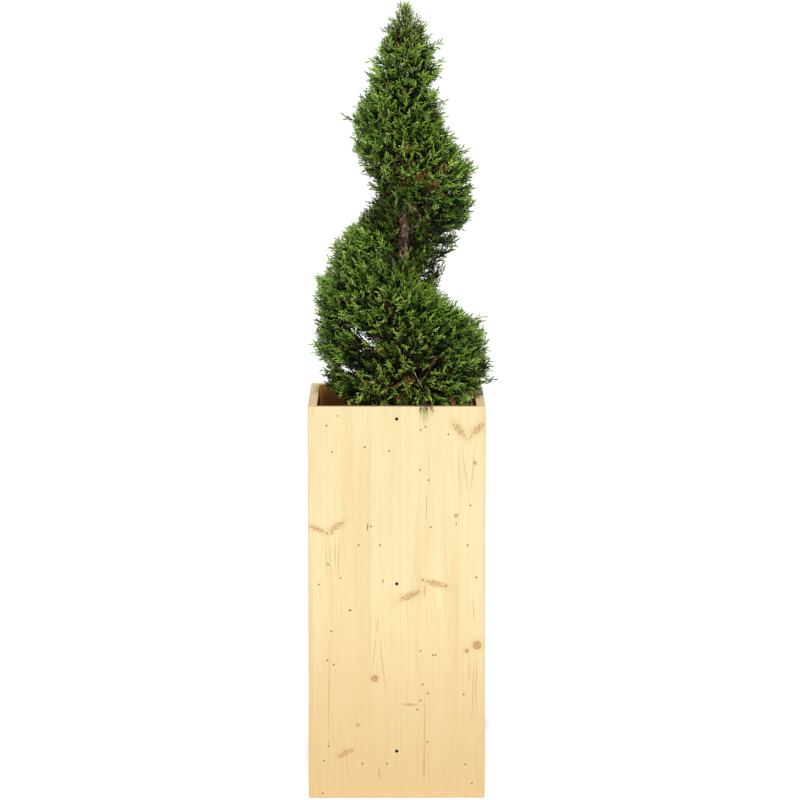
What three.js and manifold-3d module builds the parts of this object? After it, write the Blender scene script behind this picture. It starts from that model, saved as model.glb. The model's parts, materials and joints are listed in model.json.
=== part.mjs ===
// A clipped spiral juniper growing in a tall square planter of spruce boards.
// Millimetres, +Z up. The origin is the centre of the planter's underside, and its front board faces -Y.
// Angles round the trunk are in turns: 0 faces the front, a quarter turn the left side (-X), half the back.

import * as THREE from 'three';
import { mergeVertices } from 'three/addons/utils/BufferGeometryUtils.js';
import Module from 'manifold-3d';

const wasm = await Module();
wasm.setup();

// Planter
const planterWidth = 400;
const planterDepth = 400;
const planterHeight = 900;
const boardThickness = 20;
const boardChamfer = 1.2;
const jointGap = 0.3; // between neighbouring pieces
const cutChamfer = 0.1; // on the shapes that only cut
const shelfTop = 500; // the shelf inside that carries the root ball
const battenWidth = 60;
const battenDrop = 12; // from the rim to the top of the upright batten behind the front board

// Screws down the middle of the front board, into the batten
const screwDrops = [27, 403.5, 791]; // below the rim
const screwHeadRadius = 3.6;
const screwShankRadius = 1.8;
const screwHeadDepth = 3.4;
const screwLength = 34;
const screwSink = 0.4; // the head lies this far under the board's face
const screwSides = 12;
const screwCollar = 0.5; // the straight edge round the head
const screwPoint = 5;
const crossLength = 4; // the cross recess in the head
const crossWidth = 0.9;
const crossDepth = 1.5;

// Root ball
const soilDrop = 70; // from the rim to the soil
const soilFall = 7; // from the trunk to the walls
const soilLumps = 2.5;
const soilLumpSize = 23;
const soilCells = 9;
const soilLevel = planterHeight - soilDrop;

// Trunk
const trunkHeight = 1772;
const trunkFootRadius = 19;
const trunkTipRadius = 1.5;
const rootFlare = 15;
const rootFlareHeight = 26;
const rootRidges = 5;
const rootRidgeDepth = 0.14; // as a part of the radius
const trunkKnobs = 0.05;
const trunkKnobSize = 17;
const trunkSides = 12;
const trunkRings = 22;
const trunkRingPower = 1.5; // rings lie closer together at the flare
const bisections = 24; // to find a height along the trunk's line
const trunkLine = new THREE.CatmullRomCurve3([
	new THREE.Vector3(2, 0, soilLevel + jointGap),
	new THREE.Vector3(8, 3, 1000),
	new THREE.Vector3(17, -2, 1240),
	new THREE.Vector3(19, 2, 1500),
	new THREE.Vector3(20, 0, trunkHeight),
]);

// Crown: a cone with round shoulders, clipped into a spiral by one groove that climbs round it
const crownTip = 1797;
const crownFoot = 866;
const crownWidestHeight = 1030;
const crownRadius = 201; // at its widest height
const crownPoint = 0.81; // below 1, the round shoulders under the tip are fuller
const skirtRadius = 150; // at the crown's foot, inside the planter's rim
const crownLumps = 0.055; // unevenness, as a part of the radius
const crownLumpSize = 26;
const skirtPower = 2.5; // how late the foot of the crown is tucked in
const bulgeEdge = 15; // over this height a bulge fades out
// Where the crown stands out (or is drawn in) on one side, between two heights
const bulges = [
	{ turn: 0.25, low: 1190, high: 1345, by: -22 },
	{ turn: 0.75, low: 1255, high: 1400, by: -17 },
	{ turn: 0.75, low: 1090, high: 1215, by: -30 },
	{ turn: 0.25, low: 1630, high: 1790, by: 9 },
	{ turn: 0.75, low: 1630, high: 1790, by: 8 },
	{ turn: 0.75, low: 1405, high: 1590, by: 8 },
	{ turn: 0.25, low: 1395, high: 1445, by: 7 },
	{ turn: 0.25, low: 1480, high: 1600, by: -4 },
	{ turn: 0.25, low: 1010, high: 1085, by: 5 },
	{ turn: 0.25, low: 930, high: 985, by: -13 },
	{ turn: 0.75, low: 905, high: 950, by: 10 },
	{ turn: 0.75, low: 1010, high: 1080, by: -9 },
];
const firstTurn = -1; // the turn at which each list below starts, half a turn between entries
const grooveHeights = [895, 1068, 1258, 1430, 1612, 1720, 1800];
const grooveDepths = [0, 0.3, 0.62, 0.48, 0.2, 0.12, 0.05]; // as a part of the crown's radius
const grooveStart = 0.6; // turns over which it deepens from nothing
const grooveUnderShoulder = 112; // from the groove's middle down to the shoulder of the mass below
const grooveOverSlope = 205; // and up to the end of the sloping underside of the mass above
const grooveFlat = 0.16; // the flat floor, as a part of either width
const windowDepth = 0.55; // in front, the groove is cut right in to the trunk
const windowSharpness = 3;
const tipSplit = 1612; // the height at which the mass round the tip begins
const massGap = 0.006; // between neighbouring masses, in turns
const massSteps = 9; // slices in a quarter turn
const massRows = 11; // points up the outside of a slice
const massRimPull = 0.94; // the upper and lower rims of a mass are drawn in
const tipRadius = 2;
const trunkClearance = 1;
const rimClearance = 2;
const leastFoliage = 8; // where the groove leaves less than this on the trunk, a mass ends
const massInset = 1; // from the groove's middle to the rim of a mass
const massStart = 0.5; // a mass begins this far out from the trunk's middle, as a part of its radius
const clearStep = 2; // height steps when looking for the end of a mass
const tipRows = 9;
const tipSides = 24;

// Boughs: turn and height at which each leaves the trunk, then its reach, rise, swing and thickness.
// With an early reach and a late swing, a bough grows out and then hooks round.
const boughSides = 7;
const boughRings = 7;
const boughTaper = 0.45; // thickness at the end, as a part of that at the trunk
const boughBend = 1.5;
const boughSteps = 6; // straight pieces in its line before it is smoothed
const boughClearance = 1; // from a bough to the foliage round it
const boughStart = 0.4; // it begins this far out from the trunk's middle, as a part of its radius
const boughs = [
	{
		name: 'bough_front_right', turn: -0.2, height: 1281, reach: 56, rise: 68, swing: 0.19, radius: 4.2,
		reachBend: 0.5, swingBend: 2.2,
	},
	{ name: 'bough_front_left', turn: 0.12, height: 1292, reach: 32, rise: 60, swing: -0.03, radius: 4.4 },
	{ name: 'bough_front', turn: -0.03, height: 1262, reach: 56, rise: -52, swing: 0.02, radius: 3.6 },
	{ name: 'bough_foot_front', turn: -0.04, height: 856, reach: 112, rise: 44, swing: -0.06, radius: 6 },
	{ name: 'bough_foot_left', turn: 0.17, height: 862, reach: 92, rise: 40, swing: 0.04, radius: 6.4 },
	{ name: 'bough_foot_back_left', turn: 0.38, height: 858, reach: 96, rise: 46, swing: 0.05, radius: 5.6 },
	{ name: 'bough_foot_back_right', turn: 0.58, height: 860, reach: 98, rise: 42, swing: -0.04, radius: 6 },
	{ name: 'bough_foot_right', turn: 0.79, height: 857, reach: 104, rise: 48, swing: 0.04, radius: 6.6 },
];

const finishes = {
	wood: { color: 0xe9cf98, roughness: 0.62, metalness: 0 },
	screw: { color: 0x1c1b1a, roughness: 0.5, metalness: 0.6 },
	soil: { color: 0x2a1f17, roughness: 1, metalness: 0 },
	bark: { color: 0x6f5848, roughness: 0.95, metalness: 0 },
	foliage: { color: 0x3f6b2c, roughness: 0.8, metalness: 0 },
};

const topiary = new THREE.Group();

function addPiece(name, geometry, finish) {
	const piece = new THREE.Mesh(geometry, new THREE.MeshStandardMaterial(finishes[finish]));
	piece.name = name;
	topiary.add(piece);
}

function toSolid(geometry) {
	const bare = geometry.clone();
	bare.deleteAttribute('normal');
	bare.deleteAttribute('uv');
	const merged = mergeVertices(bare);
	return new wasm.Manifold(new wasm.Mesh({
		numProp: 3,
		vertProperties: new Float32Array(merged.attributes.position.array),
		triVerts: new Uint32Array(merged.index.array),
	}));
}

function toGeometry(solid) {
	const mesh = solid.getMesh();
	const geometry = new THREE.BufferGeometry();
	geometry.setAttribute('position', new THREE.BufferAttribute(new Float32Array(mesh.vertProperties), 3));
	geometry.setIndex(new THREE.BufferAttribute(new Uint32Array(mesh.triVerts), 1));
	geometry.computeVertexNormals();
	return geometry;
}

// A closed skin over rings of points, with a fan of triangles over the first and the last ring.
function loft(rings) {
	const count = rings[0].length;
	const points = rings.flat();
	const first = points.length;
	const last = first + 1;
	points.push(centreOf(rings[0]), centreOf(rings[rings.length - 1]));
	const faces = [];
	for (let row = 0; row < rings.length - 1; row++) {
		for (let i = 0; i < count; i++) {
			const a = row * count + i;
			const b = row * count + (i + 1) % count;
			const rising = points[a].distanceTo(points[b + count]);
			const falling = points[b].distanceTo(points[a + count]);
			if (rising < falling) faces.push(a, b, b + count, a, b + count, a + count);
			else faces.push(a, b, a + count, b, b + count, a + count);
		}
	}
	const top = (rings.length - 1) * count;
	for (let i = 0; i < count; i++) {
		const next = (i + 1) % count;
		faces.push(first, next, i, last, top + i, top + next);
	}
	const geometry = new THREE.BufferGeometry().setFromPoints(points);
	geometry.setIndex(faces);
	geometry.computeVertexNormals();
	return geometry;
}

function centreOf(ring) {
	const sum = ring.reduce((total, point) => total.add(point), new THREE.Vector3());
	return sum.divideScalar(ring.length);
}

// A box with chamfered edges, centred on x and y, standing on z = 0.
function board(width, depth, height, chamfer = boardChamfer) {
	const outline = new THREE.Shape();
	const halfWidth = width / 2 - chamfer;
	const halfHeight = height / 2 - chamfer;
	outline.moveTo(-halfWidth, -halfHeight);
	outline.lineTo(halfWidth, -halfHeight);
	outline.lineTo(halfWidth, halfHeight);
	outline.lineTo(-halfWidth, halfHeight);
	const geometry = new THREE.ExtrudeGeometry(outline, {
		depth: depth - 2 * chamfer,
		bevelEnabled: true,
		bevelSize: chamfer,
		bevelThickness: chamfer,
		bevelSegments: 1,
	});
	geometry.translate(0, 0, -depth / 2 + chamfer);
	geometry.rotateX(Math.PI / 2);
	geometry.translate(0, 0, height / 2);
	return geometry;
}

function placed(geometry, x, y, z) {
	return geometry.clone().translate(x, y, z);
}

function screwProfile(extra) {
	const head = screwHeadRadius + extra;
	const shank = screwShankRadius + extra;
	return [
		new THREE.Vector2(0, 0),
		new THREE.Vector2(head, 0),
		new THREE.Vector2(head, screwCollar + extra),
		new THREE.Vector2(shank, screwHeadDepth + extra),
		new THREE.Vector2(shank, screwLength - screwPoint),
		new THREE.Vector2(0, screwLength + extra),
	];
}

// A countersunk screw lying along +Y, its head's face at y = 0.
function screwShape(extra) {
	return new THREE.LatheGeometry(screwProfile(extra), screwSides);
}

// The straight mouth of a screw's hole, out past the board's face.
function screwMouth() {
	const radius = screwHeadRadius + jointGap;
	const depth = 2 * screwSink + screwCollar;
	return new THREE.CylinderGeometry(radius, radius, depth, screwSides).translate(0, screwCollar - depth / 2, 0);
}

function crossArm(width, height) {
	return new THREE.BoxGeometry(width, 2 * crossDepth, height);
}

function buildPlanter() {
	const sideY = planterDepth / 2 - boardThickness / 2;
	const sideX = planterWidth / 2 - boardThickness / 2;
	const insideWidth = planterWidth - 2 * boardThickness - 2 * jointGap;
	const insideDepth = planterDepth - 2 * boardThickness - 2 * jointGap;
	const battenHeight = planterHeight - boardThickness - jointGap - battenDrop;
	const battenY = -planterDepth / 2 + boardThickness * 1.5 + jointGap;

	const batten = board(battenWidth, boardThickness, battenHeight);
	let battenSolid = toSolid(placed(batten, 0, battenY, boardThickness + jointGap));
	let frontSolid = toSolid(placed(board(planterWidth, boardThickness, planterHeight), 0, -sideY, 0));
	const battenNotch = toSolid(placed(
		board(battenWidth + 2 * jointGap, boardThickness + 2 * jointGap, planterHeight, cutChamfer),
		0, battenY, 0,
	));

	screwDrops.forEach((drop, i) => {
		const height = planterHeight - drop;
		const headY = -planterDepth / 2 + screwSink;
		const here = (geometry) => toSolid(placed(geometry, 0, headY, height));
		const hole = here(screwShape(jointGap));
		frontSolid = frontSolid.subtract(hole).subtract(here(screwMouth()));
		battenSolid = battenSolid.subtract(hole);
		const screw = here(screwShape(0))
			.subtract(here(crossArm(crossLength, crossWidth)))
			.subtract(here(crossArm(crossWidth, crossLength)));
		addPiece(`screw_${i + 1}`, toGeometry(screw), 'screw');
	});

	addPiece('front_board', toGeometry(frontSolid), 'wood');
	addPiece('front_batten', toGeometry(battenSolid), 'wood');
	addPiece('back_board', placed(board(planterWidth, boardThickness, planterHeight), 0, sideY, 0), 'wood');
	for (const [name, side] of [['left_board', -1], ['right_board', 1]]) {
		addPiece(name, placed(board(boardThickness, insideDepth, planterHeight), side * sideX, 0, 0), 'wood');
	}
	const panel = board(insideWidth, insideDepth, boardThickness);
	addPiece('floor_board', placed(panel, 0, 0, 0), 'wood');
	const shelf = toSolid(placed(panel, 0, 0, shelfTop - boardThickness)).subtract(battenNotch);
	addPiece('inner_shelf', toGeometry(shelf), 'wood');
	return battenNotch;
}

// The walls with the clearance that the foliage keeps from them.
function wallRoom() {
	const outsideWidth = planterWidth + 2 * crownRadius;
	const outside = board(outsideWidth, outsideWidth, planterHeight + rimClearance, cutChamfer);
	const insideWidth = planterWidth - 2 * boardThickness - 2 * rimClearance;
	const insideDepth = planterDepth - 2 * boardThickness - 2 * rimClearance;
	const inside = placed(board(insideWidth, insideDepth, planterHeight * 2, cutChamfer), 0, 0, -planterHeight / 2);
	return toSolid(outside).subtract(toSolid(inside));
}

// Smooth lumps between -1 and 1, the same on every run.
function lumps(x, y, z, size) {
	const a = Math.sin(x / size + 1.3 * Math.sin(z / size + 0.7));
	const b = Math.sin(y / size * 1.17 + 1.1 * Math.sin(x / size * 0.83 + 2.1));
	const c = Math.sin(z / size * 0.91 + 1.2 * Math.sin(y / size * 1.07 + 4));
	return (a + b + c) / 3;
}

function buildSoil(battenNotch) {
	const width = planterWidth - 2 * boardThickness - 2 * jointGap;
	const depth = planterDepth - 2 * boardThickness - 2 * jointGap;
	const height = soilLevel - shelfTop - jointGap;
	const geometry = new THREE.BoxGeometry(width, depth, height, soilCells, soilCells, 1);
	geometry.translate(0, 0, shelfTop + jointGap + height / 2);
	const spots = geometry.attributes.position;
	for (let i = 0; i < spots.count; i++) {
		if (spots.getZ(i) < soilLevel - 1) continue;
		const fromTrunk = Math.hypot(spots.getX(i), spots.getY(i)) / (width / 2);
		const unevenness = soilLumps * (1 + lumps(spots.getX(i), spots.getY(i), 0, soilLumpSize));
		spots.setZ(i, soilLevel - fromTrunk * (soilFall + unevenness));
	}
	addPiece('root_ball', toGeometry(toSolid(geometry).subtract(battenNotch)), 'soil');
}

function trunkRadius(height) {
	const rise = (height - soilLevel) / (trunkHeight - soilLevel);
	const taper = THREE.MathUtils.lerp(trunkFootRadius, trunkTipRadius, THREE.MathUtils.clamp(rise, 0, 1));
	return taper + rootFlare * Math.exp(-(height - soilLevel) / rootFlareHeight);
}

// The middle of the trunk at a height.
function trunkCentre(height) {
	let low = 0;
	let high = 1;
	for (let i = 0; i < bisections; i++) {
		const middle = (low + high) / 2;
		if (trunkLine.getPoint(middle).z < height) low = middle;
		else high = middle;
	}
	return trunkLine.getPoint(low).setZ(height);
}

function outward(turn) {
	const angle = turn * 2 * Math.PI;
	return new THREE.Vector3(-Math.sin(angle), -Math.cos(angle), 0);
}

function aroundTrunk(turn, radius, height) {
	return trunkCentre(height).addScaledVector(outward(turn), radius);
}

function trunkSkin(extra) {
	const rings = [];
	for (let row = 0; row <= trunkRings; row++) {
		const share = (row / trunkRings) ** trunkRingPower;
		const height = THREE.MathUtils.lerp(soilLevel + jointGap, trunkHeight, share);
		const flare = Math.exp(-(height - soilLevel) / rootFlareHeight);
		const ring = [];
		for (let i = 0; i < trunkSides; i++) {
			const turn = -i / trunkSides;
			const ridge = 1 + rootRidgeDepth * flare * Math.cos(2 * Math.PI * turn * rootRidges + 1);
			const around = outward(turn).multiplyScalar(trunkRadius(height));
			const knob = 1 + trunkKnobs * lumps(around.x, around.y, height, trunkKnobSize);
			ring.push(aroundTrunk(turn, trunkRadius(height) * ridge * knob + extra, height));
		}
		rings.push(ring);
	}
	return loft(rings);
}

// A tapering limb that leaves the trunk level and bends up or down to its end.
function boughSkin(bough, extra) {
	const { reachBend = 1, swingBend = 1 } = bough;
	const places = Array.from({ length: boughSteps + 1 }, (_, step) => {
		const share = step / boughSteps;
		const turn = bough.turn + bough.swing * share ** swingBend;
		return aroundTrunk(turn, trunkRadius(bough.height) * boughStart, bough.height)
			.addScaledVector(outward(turn), bough.reach * share ** reachBend)
			.add(new THREE.Vector3(0, 0, bough.rise * share ** boughBend));
	});
	const line = new THREE.CatmullRomCurve3(places);
	const frames = line.computeFrenetFrames(boughRings, false);
	const rings = [];
	for (let row = 0; row <= boughRings; row++) {
		const share = row / boughRings;
		const middle = line.getPointAt(share);
		if (row === boughRings) middle.addScaledVector(frames.tangents[row], extra);
		const radius = THREE.MathUtils.lerp(bough.radius, bough.radius * boughTaper, share) + extra;
		const ring = [];
		for (let i = 0; i < boughSides; i++) {
			const angle = 2 * Math.PI * i / boughSides;
			ring.push(middle.clone()
				.addScaledVector(frames.normals[row], Math.cos(angle) * radius)
				.addScaledVector(frames.binormals[row], Math.sin(angle) * radius));
		}
		rings.push(ring);
	}
	return loft(rings);
}

// A smooth value at any turn, from a list with an entry each half turn.
function alongTurns(values, turn) {
	const place = THREE.MathUtils.clamp((turn - firstTurn) * 2, 0, values.length - 1.001);
	const i = Math.floor(place);
	const at = (k) => {
		if (k < 0) return 2 * values[0] - values[1];
		if (k >= values.length) return 2 * values[values.length - 1] - values[values.length - 2];
		return values[k];
	};
	const [a, b, c, d] = [at(i - 1), at(i), at(i + 1), at(i + 2)];
	const t = place - i;
	return b + 0.5 * t * (c - a + t * (2 * a - 5 * b + 4 * c - d + t * (3 * (b - c) + d - a)));
}

function grooveHeight(turn) {
	if (turn >= firstTurn) return alongTurns(grooveHeights, turn);
	return grooveHeights[0] + (turn - firstTurn) * 2 * (grooveHeights[1] - grooveHeights[0]);
}

// The groove's depth at a turn, as a part of the crown's radius.
function grooveDepth(turn) {
	const inFront = Math.abs(turn) < 0.25 ? Math.cos(2 * Math.PI * turn) ** windowSharpness : 0;
	const start = THREE.MathUtils.smoothstep(turn, firstTurn, firstTurn + grooveStart);
	return start * (alongTurns(grooveDepths, turn) + windowDepth * inFront);
}

// The crown's radius before the groove is cut.
function coneRadius(height) {
	if (height > crownWidestHeight) {
		const drop = Math.max(0, crownTip - height) / (crownTip - crownWidestHeight);
		return crownRadius * Math.sin(Math.PI / 2 * drop ** crownPoint);
	}
	const tuck = (crownWidestHeight - height) / (crownWidestHeight - crownFoot);
	return THREE.MathUtils.lerp(crownRadius, skirtRadius, tuck ** skirtPower);
}

// How much of the groove's depth is left at a distance above (or below) its middle.
function grooveShare(distance) {
	const width = distance > 0 ? grooveOverSlope : grooveUnderShoulder;
	const share = Math.abs(distance) / width;
	if (share >= 1) return 0;
	return 0.5 + 0.5 * Math.cos(Math.PI * Math.max(0, share - grooveFlat) / (1 - grooveFlat));
}

function crownSurface(turn, height) {
	let left = 1;
	for (const lap of [-1, 0, 1]) {
		const share = grooveShare(height - grooveHeight(turn + lap));
		left = Math.min(left, 1 - grooveDepth(turn + lap) * share);
	}
	const full = coneRadius(height);
	const spot = outward(turn).multiplyScalar(full);
	const uneven = 1 + crownLumps * lumps(spot.x, spot.y, height, crownLumpSize);
	return full * left * uneven;
}

// How far the crown stands out beyond its even shape.
function bulge(turn, height) {
	let total = 0;
	for (const { turn: middle, low, high, by } of bulges) {
		const within = THREE.MathUtils.clamp(Math.min(height - low, high - height) / bulgeEdge + 1, 0, 1);
		total += by * within * Math.max(0, Math.cos(2 * Math.PI * (turn - middle))) ** 2;
	}
	return total;
}

// A point on the outside of the foliage; the rims of a mass are pulled in.
function crownPlace(turn, height, pull) {
	const radius = crownSurface(turn, height) * pull;
	const least = Math.min(radius, trunkRadius(height) + leastFoliage);
	return aroundTrunk(turn, Math.max(radius + bulge(turn, height), least, tipRadius), height);
}

// From a height, up (or down) to where the crown stands clear of the trunk.
function clearHeight(turn, height, step) {
	let clear = height;
	while (crownSurface(turn, clear) < trunkRadius(clear) + leastFoliage) clear += step;
	return clear;
}

// One mass: a stretch of the spiral between the groove below and the groove above it.
function massSkin(startTurn, endTurn) {
	const rings = [];
	for (let step = 0; step <= massSteps; step++) {
		const turn = THREE.MathUtils.lerp(startTurn, endTurn, step / massSteps);
		const low = clearHeight(turn, Math.max(grooveHeight(turn - 1), crownFoot) + massInset, clearStep);
		const high = clearHeight(turn, Math.min(grooveHeight(turn), tipSplit) - massInset, -clearStep);
		const ring = [high, low].map((height) => aroundTrunk(turn, trunkRadius(height) * massStart, height));
		for (let row = 0; row < massRows; row++) {
			const height = THREE.MathUtils.lerp(low, high, row / (massRows - 1));
			const pull = row === 0 || row === massRows - 1 ? massRimPull : 1;
			ring.push(crownPlace(turn, height, pull));
		}
		rings.push(ring);
	}
	return loft(rings);
}

// The mass round the tip, from the split up.
function tipSkin() {
	const rings = [];
	for (let row = 0; row <= tipRows; row++) {
		const height = THREE.MathUtils.lerp(tipSplit + massInset, crownTip, (row / tipRows) ** crownPoint);
		const ring = [];
		for (let i = 0; i < tipSides; i++) {
			const turn = -i / tipSides;
			const pull = row === 0 ? massRimPull : 1;
			ring.push(crownPlace(turn + 2, height, pull));
		}
		rings.push(ring);
	}
	return loft(rings);
}

// The larger part of a mass, without the sliver that cutting can leave.
function withoutChips(solid) {
	return solid.decompose().reduce((most, part) => (part.volume() > most.volume() ? part : most));
}

function buildPlant() {
	const trunk = toSolid(trunkSkin(0));
	const trunkRoom = toSolid(trunkSkin(trunkClearance));
	const trunkEdge = toSolid(trunkSkin(jointGap));
	addPiece('trunk', toGeometry(trunk), 'bark');

	let takenRoom = trunkRoom.add(wallRoom());
	for (const bough of boughs) {
		addPiece(bough.name, toGeometry(toSolid(boughSkin(bough, 0)).subtract(trunkEdge)), 'bark');
		takenRoom = takenRoom.add(toSolid(boughSkin(bough, boughClearance)));
	}

	const sides = ['front', 'left', 'back', 'right'];
	const firstQuarter = -3;
	const lastQuarter = 7;
	for (let quarter = firstQuarter; quarter <= lastQuarter; quarter++) {
		const middle = quarter / 4;
		const mass = toSolid(massSkin(middle - 0.125 + massGap / 2, middle + 0.125 - massGap / 2));
		const number = String(quarter - firstQuarter + 1).padStart(2, '0');
		const side = sides[(quarter + 4) % 4];
		addPiece(`foliage_${number}_${side}`, toGeometry(withoutChips(mass.subtract(takenRoom))), 'foliage');
	}
	addPiece('foliage_12_tip', toGeometry(toSolid(tipSkin()).subtract(takenRoom)), 'foliage');
}

const battenNotch = buildPlanter();
buildSoil(battenNotch);
buildPlant();

export default topiary;
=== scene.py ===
import json
import math
import random

import bpy
import numpy as np
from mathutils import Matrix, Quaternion, Vector, noise
from mathutils.bvhtree import BVHTree
from mathutils.kdtree import KDTree

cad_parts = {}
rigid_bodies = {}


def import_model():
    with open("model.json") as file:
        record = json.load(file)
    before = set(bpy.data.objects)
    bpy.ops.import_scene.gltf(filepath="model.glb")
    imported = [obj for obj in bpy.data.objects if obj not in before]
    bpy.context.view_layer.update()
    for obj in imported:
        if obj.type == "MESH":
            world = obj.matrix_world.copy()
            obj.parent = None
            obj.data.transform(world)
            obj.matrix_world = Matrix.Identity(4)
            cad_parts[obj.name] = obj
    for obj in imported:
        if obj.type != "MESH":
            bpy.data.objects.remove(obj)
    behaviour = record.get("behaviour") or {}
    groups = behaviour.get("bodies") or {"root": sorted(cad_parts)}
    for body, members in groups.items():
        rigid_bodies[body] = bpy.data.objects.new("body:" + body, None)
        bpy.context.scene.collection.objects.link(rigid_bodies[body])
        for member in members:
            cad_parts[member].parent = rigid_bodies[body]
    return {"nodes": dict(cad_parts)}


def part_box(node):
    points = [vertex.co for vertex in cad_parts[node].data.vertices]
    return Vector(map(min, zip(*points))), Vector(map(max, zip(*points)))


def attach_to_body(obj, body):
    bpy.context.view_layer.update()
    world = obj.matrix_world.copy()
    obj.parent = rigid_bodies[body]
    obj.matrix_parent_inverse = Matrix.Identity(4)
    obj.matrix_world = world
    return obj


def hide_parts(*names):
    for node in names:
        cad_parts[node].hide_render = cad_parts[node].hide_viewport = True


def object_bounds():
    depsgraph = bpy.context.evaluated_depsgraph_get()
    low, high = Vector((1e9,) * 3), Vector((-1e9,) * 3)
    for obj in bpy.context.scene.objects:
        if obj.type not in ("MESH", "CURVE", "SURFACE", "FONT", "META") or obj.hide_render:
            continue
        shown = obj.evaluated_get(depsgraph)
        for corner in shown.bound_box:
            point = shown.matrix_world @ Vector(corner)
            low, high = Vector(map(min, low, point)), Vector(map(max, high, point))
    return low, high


# A clipped spiral juniper in a planter of spruce boards. Metres, +Z up, the front board faces -Y.
# A turn is counted round the trunk from the front: 0.25 is the left side, 0.5 the back.

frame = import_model()
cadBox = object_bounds()
mm = 0.001
up = Vector((0, 0, 1))


# Sockets that take part in arithmetic, and one way to add any node

class Wire:
    def __init__(self, bench, node, socket):
        self.bench = bench
        self.node = node
        self.socket = socket

    def output(self, name):
        return Wire(self.bench, self.node, self.bench.find(self.node.outputs, name))

    def __add__(self, other):
        return self.bench.math("ADD", self, other)

    def __radd__(self, other):
        return self.bench.math("ADD", other, self)

    def __sub__(self, other):
        return self.bench.math("SUBTRACT", self, other)

    def __rsub__(self, other):
        return self.bench.math("SUBTRACT", other, self)

    def __mul__(self, other):
        return self.bench.math("MULTIPLY", self, other)

    def __rmul__(self, other):
        return self.bench.math("MULTIPLY", other, self)

    def __truediv__(self, other):
        return self.bench.math("DIVIDE", self, other)

    def __rtruediv__(self, other):
        return self.bench.math("DIVIDE", other, self)


class Bench:
    def __init__(self, tree):
        self.tree = tree

    def find(self, sockets, name):
        if isinstance(name, int):
            return sockets[name]
        for socket in sockets:
            if socket.identifier == name:
                return socket
        return sockets[name]

    def node(self, kind, settings=None, values=None, output=0):
        node = self.tree.nodes.new(kind)
        for name, value in (settings or {}).items():
            if name == "stops":
                self.setStops(node.color_ramp, value)
            else:
                setattr(node, name, value)
        for name, value in (values or {}).items():
            socket = self.find(node.inputs, name)
            for each in value if isinstance(value, list) else [value]:
                if isinstance(each, Wire):
                    self.tree.links.new(each.socket, socket)
                else:
                    socket.default_value = each
        if not node.outputs:
            return Wire(self, node, None)
        return Wire(self, node, self.find(node.outputs, output))

    def setStops(self, ramp, stops):
        while len(ramp.elements) < len(stops):
            ramp.elements.new(1)
        for element, (place, color) in zip(ramp.elements, stops):
            element.position = place
            element.color = (*color, 1)

    def math(self, operation, a, b=0.0):
        return self.node("ShaderNodeMath", {"operation": operation}, {0: a, 1: b})

    def vectorMath(self, operation, a, b=(0, 0, 0), output="Vector"):
        return self.node("ShaderNodeVectorMath", {"operation": operation}, {0: a, 1: b}, output)

    def scaled(self, vector, scale):
        return self.node("ShaderNodeVectorMath", {"operation": "SCALE"}, {0: vector, "Scale": scale})

    def combined(self, x, y, z):
        return self.node("ShaderNodeCombineXYZ", None, {0: x, 1: y, 2: z})

    def mapped(self, vector, place=(0, 0, 0), turn=(0, 0, 0), size=(1, 1, 1)):
        values = {"Vector": vector, "Location": place, "Rotation": turn, "Scale": size}
        return self.node("ShaderNodeMapping", {"vector_type": "TEXTURE"}, values)

    def noise(self, vector, scale, detail=3.0, rough=0.5):
        values = {"Vector": vector, "Scale": scale, "Detail": detail, "Roughness": rough}
        return self.node("ShaderNodeTexNoise", None, values)

    def smooth(self, value, low, high, first=0.0, last=1.0):
        settings = {"interpolation_type": "SMOOTHSTEP"}
        return self.node("ShaderNodeMapRange", settings, {0: value, 1: low, 2: high, 3: first, 4: last})

    def ramp(self, value, stops):
        return self.node("ShaderNodeValToRGB", {"stops": stops}, {0: value})

    def mix(self, share, a, b):
        values = {"Factor_Float": share, "A_Color": self.rgba(a), "B_Color": self.rgba(b)}
        return self.node("ShaderNodeMix", {"data_type": "RGBA"}, values, "Result_Color")

    def rgba(self, color):
        return color if isinstance(color, Wire) else (*color, 1)


def linear(red, green, blue):
    # a screen color of 0 to 255 in the light's own scale
    shares = (red / 255, green / 255, blue / 255)
    return tuple(c / 12.92 if c <= 0.04045 else ((c + 0.055) / 1.055) ** 2.4 for c in shares)


class Finish(Bench):
    # a material with one Principled shader
    def __init__(self, name, **plain):
        self.material = bpy.data.materials.new(name)
        self.material.use_nodes = True
        tree = self.material.node_tree
        tree.nodes.clear()
        super().__init__(tree)
        self.shader = self.node("ShaderNodeBsdfPrincipled")
        self.node("ShaderNodeOutputMaterial", None, {"Surface": self.shader})
        for name, value in plain.items():
            self.set(name.replace("_", " "), value)

    def set(self, name, value):
        socket = self.shader.node.inputs[name]
        if isinstance(value, Wire):
            self.tree.links.new(value.socket, socket)
        else:
            socket.default_value = (*value, 1) if name == "Base Color" else value

    def place(self):
        return self.node("ShaderNodeTexCoord", None, None, "Object")

    def bump(self, height, distance, strength=1.0):
        values = {"Height": height, "Distance": distance, "Strength": strength}
        self.set("Normal", self.node("ShaderNodeBump", None, values))


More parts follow.
